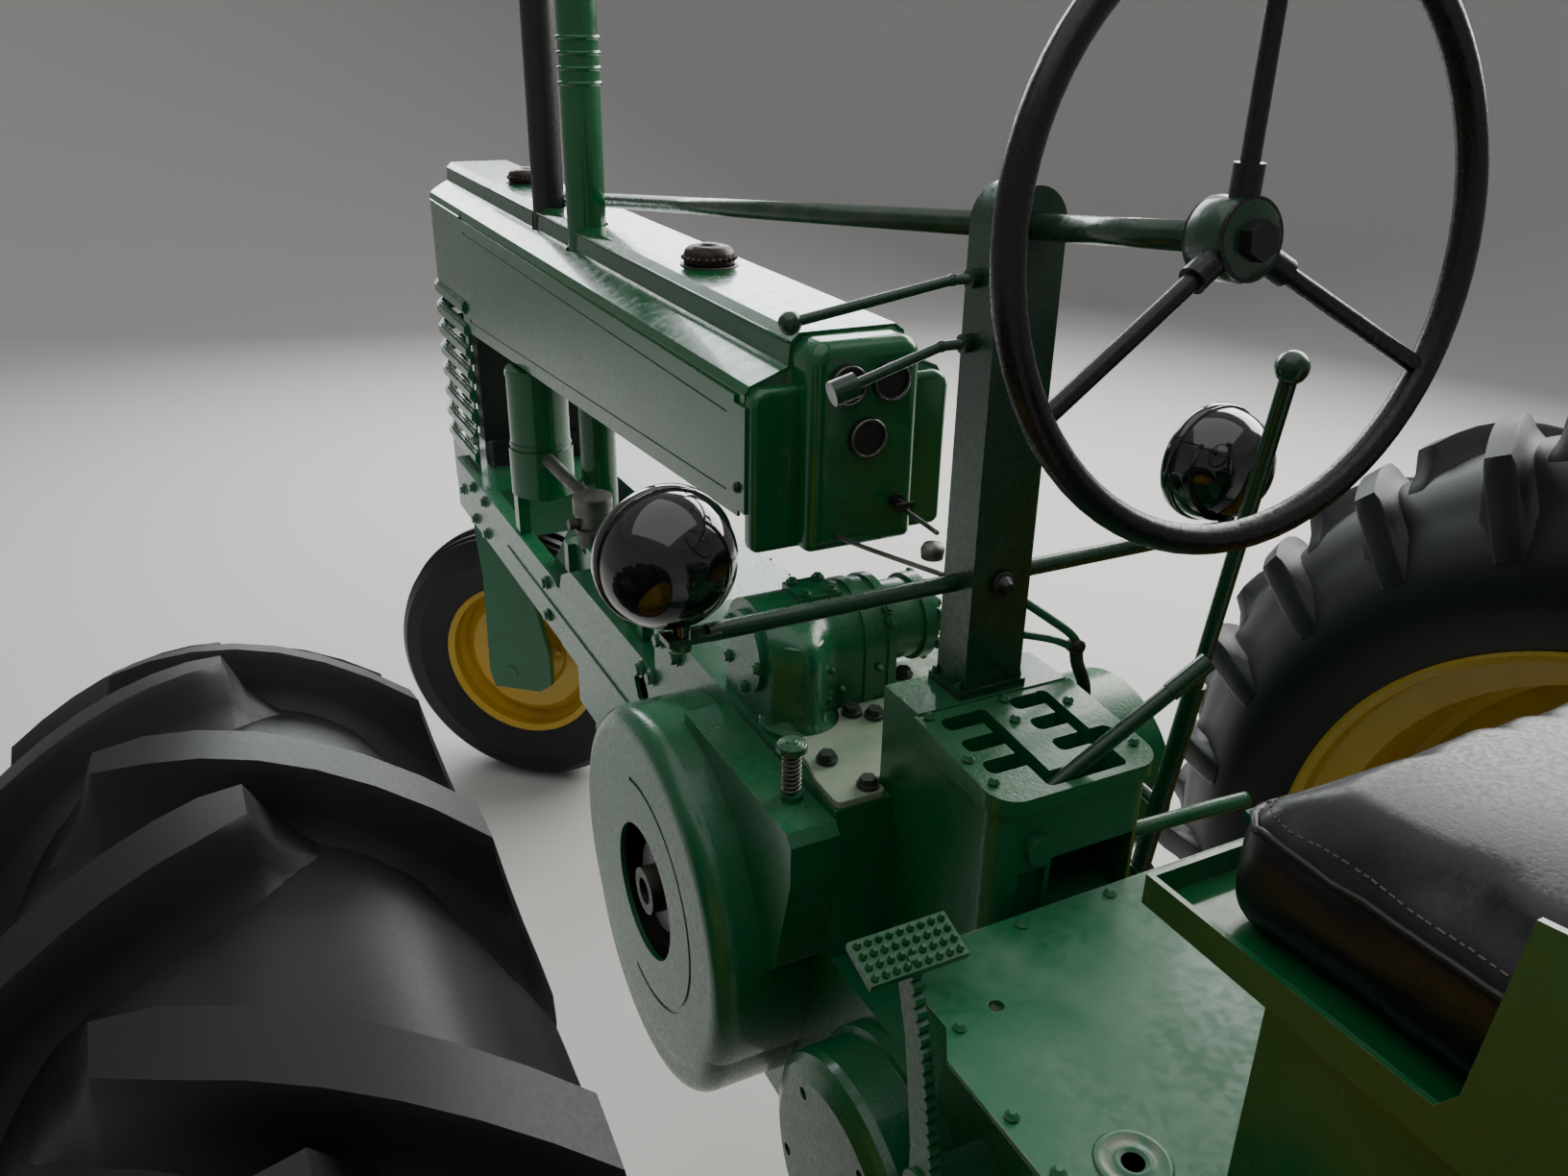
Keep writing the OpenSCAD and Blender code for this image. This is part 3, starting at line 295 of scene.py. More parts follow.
def tidyMesh(mesh, smooth=True):
    bm = bmesh.new()
    bm.from_mesh(mesh)
    bmesh.ops.remove_doubles(bm, verts=bm.verts, dist=0.00002)
    bmesh.ops.recalc_face_normals(bm, faces=bm.faces)
    for face in bm.faces:
        face.smooth = smooth
    bm.to_mesh(mesh)
    bm.free()


def shade(mesh, smooth, angle=None):
    mesh.polygons.foreach_set("use_smooth", [smooth] * len(mesh.polygons))
    if angle:
        mesh.set_sharp_from_angle(angle=math.radians(angle))


def addPiece(name, verts, faces, finishName, body="tractor", smooth=True):
    mesh = meshOf(name, verts, faces)
    tidyMesh(mesh, smooth)
    return dress(newObject(name, mesh), finishName, body)


# the mesh of a piece with its modifiers run
def evaluatedMesh(piece):
    graph = bpy.context.evaluated_depsgraph_get()
    return bpy.data.meshes.new_from_object(piece.evaluated_get(graph), depsgraph=graph)


# a ring of points about a centre, in the plane of two directions
def circle(centre, side, other, radius, count, first=0.0):
    ring = []
    for k in range(count):
        a = 2 * math.pi * (k + first) / count
        ring.append(centre + side * (radius * math.cos(a)) + other * (radius * math.sin(a)))
    return ring


# faces between rings of points that follow one another
def ringFaces(rings, sides, base=0):
    faces = []
    for i in range(rings - 1):
        for k in range(sides):
            a, b = base + i * sides + k, base + i * sides + (k + 1) % sides
            faces.append((a, b, b + sides, a + sides))
    return faces


def capFace(ring, sides, base=0):
    return tuple(range(base + ring * sides, base + (ring + 1) * sides))


# a smooth line through a few points
def smoothLine(spots, steps):
    spots = [Vector(spot) for spot in spots]
    last = len(spots) - 1
    line = []
    for i in range(last):
        p0, p1, p2, p3 = spots[max(i - 1, 0)], spots[i], spots[i + 1], spots[min(i + 2, last)]
        for k in range(steps):
            t = k / steps
            line.append(0.5 * ((2 * p1) + (p2 - p0) * t + (2 * p0 - 5 * p1 + 4 * p2 - p3) * t * t
                               + (3 * p1 - p0 - 3 * p2 + p3) * t * t * t))
    return line + [spots[-1]]


# a round tube along a smooth line; wrap makes every second ring thicker, as on a cable wound with wire
def tube(name, points, radius, finishName, sides=12, steps=6, wrap=0.0):
    path = smoothLine(points, steps)
    verts, side = [], None
    for i, p in enumerate(path):
        ahead = (path[min(i + 1, len(path) - 1)] - path[max(i - 1, 0)]).normalized()
        if side is None:
            side = ahead.orthogonal().normalized()
        side = (side - ahead * side.dot(ahead)).normalized()
        verts += circle(p, side, ahead.cross(side), radius * (1 + wrap * (i % 2)), sides)
    faces = ringFaces(len(path), sides) + [tuple(reversed(range(sides))), capFace(len(path) - 1, sides)]
    return addPiece(name, verts, faces, finishName)


# a turned shape: outline of (radius, height) pairs about an axis through a point
def turned(name, centre, axis, outline, finishName, body="tractor", sides=40):
    axis = Vector(axis).normalized()
    side = axis.orthogonal().normalized()
    verts = []
    for radius, height in outline:
        verts += circle(Vector(centre) + axis * height, side, axis.cross(side), radius, sides)
    faces = ringFaces(len(outline), sides)
    closed = tuple(outline[0]) == tuple(outline[-1])
    for ring in (0, len(outline) - 1):
        if outline[ring][0] > 1e-6 and not closed:
            faces.append(capFace(ring, sides))
    return addPiece(name, verts, faces, finishName, body)


# a level plate from an outline, with softened edges
def plate(name, outline, origin, thickness, edge, finishName):
    low = [origin + Vector((x, y, 0)) for x, y in outline]
    high = [v + Vector((0, 0, thickness)) for v in low]
    n = len(outline)
    faces = [tuple(reversed(range(n))), capFace(1, n)] + ringFaces(2, n)
    piece = addPiece(name, low + high, faces, finishName, smooth=False)
    modifier = piece.modifiers.new("softEdges", "BEVEL")
    modifier.width = edge
    modifier.segments = 2
    modifier.limit_method = "ANGLE"
    modifier.angle_limit = math.radians(35)
    modifier.harden_normals = False


# a Geometry Nodes tree that takes one mesh, some sizes and a finish
def geometryTree(name, source, sizes):
    inputs = [(source, "Geometry", None)] + sizes + [("Finish", "Material", None)]
    return newGroup(name, inputs, [("Result", "Geometry")], "GeometryNodeTree")


# the last nodes of a tree: copies on points, made real and given their finish
def spreadCopies(tree, start, end, points, instance, rotation):
    spread = addNode(tree, "GeometryNodeInstanceOnPoints",
                     {"Points": points, "Instance": instance, "Rotation": rotation})
    whole = addNode(tree, "GeometryNodeRealizeInstances", {0: spread.outputs[0]})
    paint = addNode(tree, "GeometryNodeSetMaterial",
                    {"Geometry": whole.outputs[0], "Material": start.outputs["Finish"]})
    give(tree, end, {0: paint.outputs[0]})
    return tree


# bolt or rivet heads with washers, each turned to its point's facing
def headTree(name, sides, flat):
    tree, start, end = geometryTree(name, "Places", [
        ("Head radius", "Float", 0.008), ("Head height", "Float", 0.006), ("Washer radius", "Float", 0.0)])
    radius = start.outputs["Head radius"]
    head = addNode(tree, "GeometryNodeMeshCone", {
        "Vertices": sides, "Side Segments": 1, "Depth": start.outputs["Head height"],
        "Radius Bottom": radius, "Radius Top": maths(tree, "MULTIPLY", radius, flat)})
    washer = addNode(tree, "GeometryNodeMeshCylinder", {
        "Vertices": 14, "Radius": start.outputs["Washer radius"], "Depth": 0.003})
    both = addNode(tree, "GeometryNodeJoinGeometry")
    for part in (head, washer):
        give(tree, both, {0: part.outputs["Mesh"]})
    facing = addNode(tree, "GeometryNodeInputNamedAttribute", {"Name": "facing"}, data_type="FLOAT_VECTOR")
    turnTo = addNode(tree, "FunctionNodeAlignRotationToVector", {"Vector": facing.outputs["Attribute"]},
                     axis="Z")
    return spreadCopies(tree, start, end, start.outputs["Places"], both.outputs[0],
                        turnTo.outputs["Rotation"])


hexTree = headTree("hexHeads", 6, 0.92)
roundTree = headTree("roundHeads", 16, 0.45)


# runs a tree on a carrier mesh and keeps the result as one plain piece
def grown(name, tree, carrierMesh, values, finishName, body="tractor"):
    carrier = newObject(name + "Places", carrierMesh)
    modifier = carrier.modifiers.new("repeat", "NODES")
    modifier.node_group = tree
    values = dict(values, Finish=finishes[finishName])
    for item in tree.interface.items_tree:
        if item.item_type == "SOCKET" and item.in_out == "INPUT" and item.name in values:
            modifier[item.identifier] = values[item.name]
    made = evaluatedMesh(carrier)
    made.name = name
    bpy.data.objects.remove(carrier)
    shade(made, False)
    return dress(newObject(name, made), finishName, body)


# heads on a list of (point, facing)
def heads(name, tree, places, finishName, radius, height, washer=0.0, body="tractor"):
    facings = [Vector(facing).normalized() for point, facing in places]
    lift = height * 0.4
    spots = [Vector(point) + facing * lift for (point, _), facing in zip(places, facings)]
    mesh = meshOf(name + "Places", spots, [])
    attribute = mesh.attributes.new("facing", "FLOAT_VECTOR", "POINT")
    for item, facing in zip(attribute.data, facings):
        item.vector = facing
    sizes = {"Head radius": radius, "Head height": height, "Washer radius": washer or radius * 0.6}
    return grown(name, tree, mesh, sizes, finishName, body)


seat = dict(inset=0.010, cushionRound=0.030, backRound=0.026, cap=0.014, voxel=0.006, pressure=3.5,
            tension=12, bending=0.4, frames=20, skin=0.0005, proud=0.004, crown=0.024, fill=0.8, reach=0.03,
            weltRadius=0.0028, weltGap=0.010, stitchGap=0.0058, stitchShare=0.62, threadHalf=0.0007,
            threadHeight=0.0011)


def roundedBox(name, low, high, corner):
    inset = seat["inset"]
    low = low + Vector((inset, inset, 0.0))
    high = high - Vector((inset, inset, inset))
    bm = bmesh.new()
    bmesh.ops.create_cube(bm, size=1)
    for v in bm.verts:
        v.co = Vector((low[i] + (v.co[i] + 0.5) * (high[i] - low[i]) for i in range(3)))
    upright = [e for e in bm.edges if abs(e.verts[0].co.z - e.verts[1].co.z) > 0.01]
    bmesh.ops.bevel(bm, geom=upright, offset=corner, segments=5, profile=0.5, affect="EDGES")
    level = [e for e in bm.edges if abs(e.verts[0].co.z - e.verts[1].co.z) < 0.001
             and abs(e.calc_face_angle(0)) > 0.8]
    bmesh.ops.bevel(bm, geom=level, offset=corner * 0.90, segments=5, profile=0.5, affect="EDGES")
    mesh = bpy.data.meshes.new(name)
    bm.to_mesh(mesh)
    bm.free()
    return newObject(name, mesh)


# makes the result of a piece's modifiers its mesh
def applied(piece):
    mesh = evaluatedMesh(piece)
    piece.modifiers.clear()
    piece.data = mesh
    return mesh


def stuffed(piece):
    cloth = piece.modifiers.new("stuffing", "CLOTH")
    cloth.settings.use_pressure = True
    cloth.settings.uniform_pressure_force = seat["pressure"]
    cloth.settings.effector_weights.gravity = 0
    cloth.settings.tension_stiffness = seat["tension"]
    cloth.settings.bending_stiffness = seat["bending"]
    for step in range(seat["frames"]):
        bpy.context.scene.frame_set(step + 1)
    mesh = applied(piece)
    bpy.context.scene.frame_set(1)
    return mesh


# a pad: a rounded box remeshed, blown up as cloth, held to its cap and its solid's box, and smoothed
def makePad(name, nodeName, rounding, crownAxis):
    low, high = (Vector(corner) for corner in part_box(nodeName))
    piece = roundedBox(name, low, high, rounding)
    remesh = piece.modifiers.new("voxels", "REMESH")
    remesh.mode = "VOXEL"
    remesh.voxel_size = seat["voxel"] * 1
    mesh = applied(piece)
    rest = [v.co.copy() for v in mesh.vertices]
    mesh = stuffed(piece)
    skin, proud = seat["skin"], seat["proud"]
    for v, start in zip(mesh.vertices, rest):
        move = v.co - start
        if move.length > seat["cap"]:
            v.co = start + move.normalized() * seat["cap"]
        for k in range(3):
            v.co[k] = min(max(v.co[k], low[k] + skin), high[k] - skin + (proud if k == crownAxis else 0))
    if crownAxis == 2:
        middle = (low + high) / 2
        for v in mesh.vertices:
            if v.co.z > middle.z:
                u = (v.co.x - middle.x) / (high.x - low.x) * 2
                w = (v.co.y - middle.y) / (high.y - low.y) * 2
                v.co.z += seat["crown"] * max(1 - u * u, 0) * max(1 - w * w, 0)
    smoothing = piece.modifiers.new("smoothing", "SMOOTH")
    smoothing.iterations = 3
    smoothing.factor = 0.5
    shade(applied(piece), True)
    dress(piece, "blackVinyl")
    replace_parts(piece, nodeName)
    return piece, low, high


# evenly spaced points of a seam round the top edge of a pad
def seamLoop(low, high, corner, inset, height, gap):
    x0, x1 = low[0] + inset, high[0] - inset
    y0, y1 = low[1] + inset, high[1] - inset
    points = []
    for cx, cy, start in ((x1 - corner, y1 - corner, 0), (x0 + corner, y1 - corner, 90),
                          (x0 + corner, y0 + corner, 180), (x1 - corner, y0 + corner, 270)):
        for k in range(9):
            a = math.radians(start + k * 90 / 8)
            points.append(Vector((cx + corner * math.cos(a), cy + corner * math.sin(a), height)))
    points.append(points[0].copy())
    loop, carry = [], 0.0
    for a, b in zip(points, points[1:]):
        length = (b - a).length
        while carry < length:
            loop.append(a.lerp(b, carry / length))
            carry += gap
        carry -= length
    return loop


def makeSeat():
    cushion, low, high = makePad("seatCushion", "seat_cushion", seat["cushionRound"], 2)
    makePad("seatBackPad", "seat_back", seat["backRound"], 0)
    bm = bmesh.new()
    bm.from_mesh(cushion.data)
    finder = BVHTree.FromBMesh(bm)
    bm.free()

    def settle(point):
        hit = finder.find_nearest(point, seat["reach"])
        return (hit[0], hit[1]) if hit[0] is not None else (point, Vector((0, 0, 1)))

    # raised welt on the top edge
    welt = []
    for p in seamLoop(low, high, 0.034, 0.008, high[2] - 0.016, seat["weltGap"]):
        spot, normal = settle(p)
        welt.append(spot + normal * 0.0008)
    tube("cushionWelt", welt + [welt[0]], seat["weltRadius"], "blackVinyl", sides=8, steps=1)
    # pale stitches just inside the welt
    loop = seamLoop(low, high, 0.030, 0.018, high[2] - 0.004, seat["stitchGap"])
    half, tall = seat["threadHalf"], seat["threadHeight"]
    verts, faces = [], []
    for here, ahead in zip(loop, loop[1:]):
        ends = (settle(here), settle(here.lerp(ahead, seat["stitchShare"])))
        along = (ends[1][0] - ends[0][0]).normalized()
        across = along.cross(ends[0][1]).normalized()
        base = len(verts)
        for p, n in ends:
            for share, lift in ((-1, 0.0), (-0.6, tall), (0.6, tall), (1, 0.0)):
                verts.append(p + across * (half * share) + n * (lift - 0.0002))
        faces += ringFaces(2, 4, base) + [(base, base + 3, base + 2, base + 1), capFace(1, 4, base)]
    addPiece("cushionStitches", verts, faces, "paleThread", smooth=False)


makeSeat()
print("stage: seat made")

castings = dict(coverThickness=0.009, coverTop=1.0553, coverBoltRadius=0.0100, railBoltRadius=0.0095,
                footClearance=0.0485, governorX=0.660, governorZ=1.133, pulleyX=0.705, pulleyZ=0.790,
                railFace=0.1602, caseFace=0.0922, lidX=0.224, lidFoot=1.1591,
                lidRise=16 / 156)


def arc(centre, radius, start, end, count):
    spots = []
    for k in range(count + 1):
        a = math.radians(start + (end - start) * k / count)
        spots.append((centre[0] + radius * math.cos(a), centre[1] + radius * math.sin(a)))
    return spots


# rounds the corners of a flat outline
def softOutline(outline, radius, count):
    spots = []
    n = len(outline)
    for i in range(n):
        before, corner, after = Vector(outline[i - 1]), Vector(outline[i]), Vector(outline[(i + 1) % n])
        reach = min(radius, (before - corner).length * 0.45, (after - corner).length * 0.45)
        a = corner + (before - corner).normalized() * reach
        b = corner + (after - corner).normalized() * reach
        for k in range(count + 1):
            t = k / count
            spots.append(tuple(a.lerp(corner, t).lerp(corner.lerp(b, t), t)))
    return spots


# places in a ring on a face that looks along y, out from the centre line
def ringPlaces(x, y, z, radius, count, first, squash=1.0):
    angles = [math.radians(first + 360 / count * k) for k in range(count)]
    facing = (0, math.copysign(1, y), 0)
    return [(at(x + radius * math.cos(a), y, z + radius * math.sin(a) * squash), facing) for a in angles]


# the same (x, z) places on both sides of the tractor
def sidePlaces(y, spots):
    return [(at(x, side * y, z), (0, side, 0)) for side, tag in bothSides for x, z in spots]


def makeCrankcaseCover():
    rearEdge = [(0.4215, 0.098), (0.4475, 0.098), (0.4475, -0.138), (0.560, -0.138), (0.590, -0.116),
                (0.668, -0.112), (0.668, -0.024), (0.596, -0.024), (0.596, 0.062)]
    column = arc((0.602, 0.112), castings["footClearance"], 256, 158, 8)
    sideEdge = [(0.540, 0.147), (0.500, 0.150), (0.474, 0.158), (0.4215, 0.158)]
    outline = softOutline(rearEdge + column + sideEdge, 0.008, 3)
    outline.reverse()
    foot = castings["coverTop"]
    plate("crankcaseCover", outline, at(0, 0, foot), castings["coverThickness"], 0.0012, "paleGreen")
    top = foot + castings["coverThickness"]
    spots = [(0.577, 0.053), (0.560, 0.032), (0.498, 0.129), (0.436, 0.113), (0.631, -0.051),
             (0.600, -0.098), (0.470, -0.120), (0.530, -0.120)]
    heads("coverBolts", hexTree, [(at(x, y, top), (0, 0, 1)) for x, y in spots], "greasyBolt",
          castings["coverBoltRadius"], 0.0085, 0.0125)


# bolts of the governor: rear face, left end, right end and its cap, flange on top, and rear of its barrel
def makeGovernorBolts():
    faceSpots = ((0.071, 1.117), (0.057, 1.089), (0.074, 1.080), (0.006, 1.106))
    heads("governorFaceBolts", roundTree, [(at(0.5978, y, z), (-1, 0, 0)) for y, z in faceSpots],
          "castGreen", 0.0050, 0.006)
    x0, z0 = castings["governorX"], castings["governorZ"]
    places = ringPlaces(x0, 0.1581, 1.131, 0.043, 5, 40)
    places += ringPlaces(x0, -0.0821, z0, 0.0525, 8, 22, 0.96)
    places += ringPlaces(x0, -0.0961, z0, 0.030, 4, 45)
    flange = ((0.635, 0.053), (0.671, 0.053), (0.635, 0.087), (0.671, 0.087))
    places += [(at(x, y, 1.2011), (0, 0, 1)) for x, y in flange]
    for x, z in ((0.6105, 1.1755), (0.6105, 1.158)):
        away = Vector((x - x0, 0, z - z0)).normalized()
        places.append((at(x0, -0.0115, z0) + away * 0.0650, tuple(away)))
    heads("governorBolts", hexTree, places, "castGreen", 0.0058, 0.005, 0.008)


# bolts of the frame rails and of the case behind the belt pulley, and the crankshaft's cover there
def makeRailBolts():
    x0, z0, face = castings["pulleyX"], castings["pulleyZ"], castings["railFace"]
    places = sidePlaces(face, [
        (0.958, 0.9505), (0.972, 0.812), (1.005, 0.942), (1.50, 0.815), (1.50, 0.880), (1.95, 0.812),
        (1.95, 0.885), (2.05, 0.812), (2.05, 0.885), (2.15, 0.848), (0.921, 1.028), (0.863, 1.028),
        (0.930, 0.700), (0.930, 0.640)])
    places += ringPlaces(x0, -face, z0, 0.122, 8, 0)
    heads("railBolts", hexTree, places, "castGreen", castings["railBoltRadius"], 0.008, 0.013)
    turned("crankBearingCover", at(x0, -0.1601, z0), (0, -1, 0), [
        (0.1450, 0.0), (0.1450, 0.006), (0.1400, 0.009), (0.1060, 0.009), (0.0980, 0.014), (0.0620, 0.018),
        (0.0560, 0.034), (0.0360, 0.036), (0.0330, 0.036), (0.0330, 0.0)], "castGreen", sides=64)


# screws of the shift case's lid, bolts of the case's sides and of the steering post
def makeCaseBolts():
    spots = ((0.373, 0.084), (0.300, 0.086), (0.262, 0.083), (0.371, -0.006), (0.338, 0.004),
             (0.262, -0.084), (0.345, -0.068))
    foot, rise = castings["lidFoot"], castings["lidRise"]
    lid = [(at(x, y, foot + (x - castings["lidX"]) * rise), (-0.102, 0, 1)) for x, y in spots]
    heads("lidScrews", roundTree, lid, "castGreen", 0.0060, 0.0045)
    heads("caseSideBolts", hexTree, sidePlaces(castings["caseFace"], ((0.29, 0.895), (0.39, 0.895))),
          "castGreen", 0.008, 0.007, 0.011)
    post = [(at(0.3858, 0.0, 1.301), (-1, 0, 0))]
    heads("postBolt", roundTree, post, "plainBlack", 0.0105, 0.010, 0.0135)
    postFoot = [(at(x, side * 0.0375, 1.1865), (0, 0, 1)) for side, tag in bothSides for x in (0.392, 0.436)]
    heads("postFootBolts", hexTree, postFoot, "castGreen", 0.0030, 0.005, 0.0035)


makeCrankcaseCover()
makeGovernorBolts()
makeRailBolts()
makeCaseBolts()

governorRib = dict(middle=0.112, low=0.064, high=0.1495, foot=1.0600, top=1.192, halfWidth=0.048, rows=30,
                   columns=20, flatX=0.598, barrel=0.062, backing=0.010, proud=0.0006)
# how far the rib stands out behind the governor, as (height, depth)
ribDepths = [(1.060, 0.044), (1.075, 0.035), (1.100, 0.031), (1.150, 0.032), (1.163, 0.033), (1.170, 0.030),
             (1.178, 0.020), (1.186, 0.008), (1.192, 0.0)]


def ribDepth(z):
    for (za, da), (zb, db) in zip(ribDepths, ribDepths[1:]):
        if za <= z <= zb + 1e-9:
            t = (z - za) / (zb - za)
            return da + (db - da) * t * t * (3 - 2 * t)
    return 0.0


def makeGovernorRib():
    rib = governorRib
    rows, columns, flat, x0 = rib["rows"], rib["columns"], rib["flatX"], castings["governorX"]
    front, back = [], []
    for i in range(rows + 1):
        z = rib["foot"] + (rib["top"] - rib["foot"]) * i / rows
        above = z - castings["governorZ"]
        arch = flat if above < 0 else x0 - math.sqrt(max(rib["barrel"] ** 2 - above ** 2, 0.0))
        for k in range(columns + 1):
            y = rib["low"] + (rib["high"] - rib["low"]) * k / columns
            share = 0.5 + 0.5 * math.cos(math.pi * min(abs(y - rib["middle"]) / rib["halfWidth"], 1.0))
            front.append(at(arch - ribDepth(z) * share - rib["proud"], y, z))
            back.append(at(max(arch, flat) + rib["backing"], y, z))
    n = columns + 1
    base = len(front)
    faces = []
    for i in range(rows):
        for k in range(columns):
            a = i * n + k
            faces.append((a, a + 1, a + 1 + n, a + n))
            faces.append((base + a, base + a + n, base + a + 1 + n, base + a + 1))
    for i in range(rows):
        for a in (i * n, i * n + columns):
            faces.append((a, a + n, base + a + n, base + a))
    for k in range(columns):
        for a in (k, rows * n + k):
            faces.append((a, a + 1, base + a + 1, base + a))
    skin = addPiece("governorRibSkin", front + back, faces, "castGreen")
    skin.data.set_sharp_from_angle(angle=math.radians(45))


# painted sleeves on the steering shaft, as (start, end) down from the wheel's centre
sleeves = dict(radius=0.0115, lip=0.001, tilt=5.34, spans=((0.028, 0.2345), (0.289, 1.640)), hubRear=0.0126)


def makeSleeves():
    tilt = math.radians(sleeves["tilt"])
    along = Vector((math.cos(tilt), 0, -math.sin(tilt)))
    middle = at(0.151, 0, 1.666)
    r = sleeves["radius"]
    low = r - sleeves["lip"]
    for (start, end), tag in zip(sleeves["spans"], ("Rear", "Front")):
        length = end - start
        outline = [(low, 0.0), (r, 0.0), (r, length), (low, length), (low, 0.0)]
        turned("shaftPaint" + tag, middle + along * start, along, outline, "shaftGreen", "steering_wheel",
               sides=32)
    turned("hubPaint", middle - along * sleeves["hubRear"], along, [
        (0.0, 0.0), (0.0262, 0.0), (0.0290, 0.0014), (0.0306, 0.0045), (0.0306, 0.0345), (0.0290, 0.0378),
        (0.0262, 0.0392), (0.0, 0.0392)], "darkGreen", "steering_wheel", sides=48)


makeGovernorRib()
makeSleeves()

dials = dict(radius=0.0200, rim=0.0238, face=0.6570, rimFace=0.6537, marks=11, markReach=0.0175,
             longMark=0.005, shortMark=0.003, markHalf=0.0004)


def makeDials():
    inner, outer, reach, half = dials["radius"], dials["rim"], dials["markReach"], dials["markHalf"]
    for index, (y, z) in enumerate(((0.028, 1.438), (-0.028, 1.438), (0.0, 1.374))):
        centre = at(dials["face"] - 0.0004, y, z)
        turned("dialRim%d" % index, at(dials["rimFace"], y, z), (-1, 0, 0), [
            (inner, -0.0012), (inner, 0.0012), (inner + 0.0012, 0.0022), (outer - 0.0004, 0.0012),
            (outer, -0.0030), (inner + 0.0004, -0.0030), (inner, -0.0012)], "brightRim", sides=48)
        verts, faces = [], []

        # a flat bar across the dial, between two (radius, half width) ends
        def bar(degrees, ends, lift):
            a = math.radians(degrees)
            for r, w in ends:
                for s in (-1, 1):
                    verts.append(centre + Vector((-lift, r * math.cos(a) - s * w * math.sin(a),
                                                  r * math.sin(a) + s * w * math.cos(a))))
            b = len(verts) - 4
            faces.append((b, b + 1, b + 3, b + 2))

        for k in range(dials["marks"]):
            length = dials["longMark"] if k % 5 == 0 else dials["shortMark"]
            bar(220 - k * 26, ((reach, half), (reach - length, half)), 0.0003)
        bar(150 - 50 * index, ((-0.004, 0.0011), (0.014, half)), 0.0008)
        addPiece("dialMarks%d" % index, verts, faces, "dialWhite", smooth=False)


makeDials()

pedals = dict(rows=4, columns=9, alongGap=0.0108, acrossGap=0.0105, studRadius=0.0036, studHeight=0.0042,
              tilt=18, toothGap=0.0118, toothRadius=0.0056, toothWidth=0.0104)


# small rounded teeth along the rear edge of a pedal arm
def toothTree():
    tree, start, end = geometryTree("pedalTeeth", "Edge", [
        ("Spacing", "Float", 0.011), ("Tooth", "Float", 0.006), ("Width", "Float", 0.010)])
    line = addNode(tree, "GeometryNodeMeshToCurve", {"Mesh": start.outputs["Edge"]})
    spots = addNode(tree, "GeometryNodeCurveToPoints",
                    {"Curve": line.outputs["Curve"], "Length": start.outputs["Spacing"]}, mode="LENGTH")
    tooth = addNode(tree, "GeometryNodeMeshCylinder", {
        "Vertices": 8, "Radius": start.outputs["Tooth"], "Depth": start.outputs["Width"]})
    lie = addNode(tree, "FunctionNodeAlignRotationToVector", {"Vector": (0, 1, 0)}, axis="Z")
    return spreadCopies(tree, start, end, spots.outputs["Points"], tooth.outputs["Mesh"],
                        lie.outputs["Rotation"])


def makePedals():
    lean = math.radians(pedals["tilt"])
    along = Vector((math.cos(lean), 0, math.sin(lean)))
    up = Vector((-math.sin(lean), 0, math.cos(lean)))
    rows, columns = pedals["rows"], pedals["columns"]
    edge = [(0.162, 1.086), (0.150, 1.050), (0.134, 1.008), (0.122, 0.958), (0.108, 0.893)]
    teeth = toothTree()
    sizes = {"Spacing": pedals["toothGap"], "Tooth": pedals["toothRadius"], "Width": pedals["toothWidth"]}
    for side, tag in bothSides:
        places = []
        for i in range(rows):
            for j in range(columns):
                p = at(0.174, side * 0.2265, 1.088) + along * ((i - (rows - 1) / 2) * pedals["alongGap"])
                p += up * 0.0040
                p.y += side * (j - (columns - 1) / 2) * pedals["acrossGap"]
                places.append((p, up))
        heads("padStuds" + tag, roundTree, places, "castGreen", pedals["studRadius"], pedals["studHeight"])
        spots = [at(x + 0.0015, side * 0.228, z) for x, z in edge]
        mesh = meshOf("armEdge" + tag, spots, [], [(k, k + 1) for k in range(len(edge) - 1)])
        grown("armTeeth" + tag, teeth, mesh, sizes, "castGreen")


platformTrim = dict(rivetRadius=0.0065, rivetHeight=0.0042, top=1.040)


def makePlatform():
    top = platformTrim["top"]
    spots = [(x, side * y) for side, tag in bothSides
             for x, y in ((0.120, 0.206), (0.025, 0.222), (-0.032, 0.222), (-0.110, 0.222))]
    spots += [(0.204, y) for y in (-0.190, -0.130, -0.025, 0.08, 0.160)]
    heads("platformRivets", roundTree, [(at(x, y, top), (0, 0, 1)) for x, y in spots], "wornPlate",
          platformTrim["rivetRadius"], platformTrim["rivetHeight"])
    turned("platformRing", at(-0.048, 0.166, top - 0.0002), (0, 0, 1), [
        (0.030, 0.0), (0.028, 0.0022), (0.024, 0.0022), (0.022, 0.0008), (0.015, 0.0008), (0.0135, 0.0022),
        (0.011, 0.0022), (0.0095, 0.0)], "wornPlate", sides=48)


controls = dict(springRadius=0.0096, springWire=0.0017, springTurns=9, springSteps=14, springHeight=0.049,
                clutchRodRadius=0.0085, pipeRadius=0.0048, cableRadius=0.0060, dashRodRadius=0.0028)


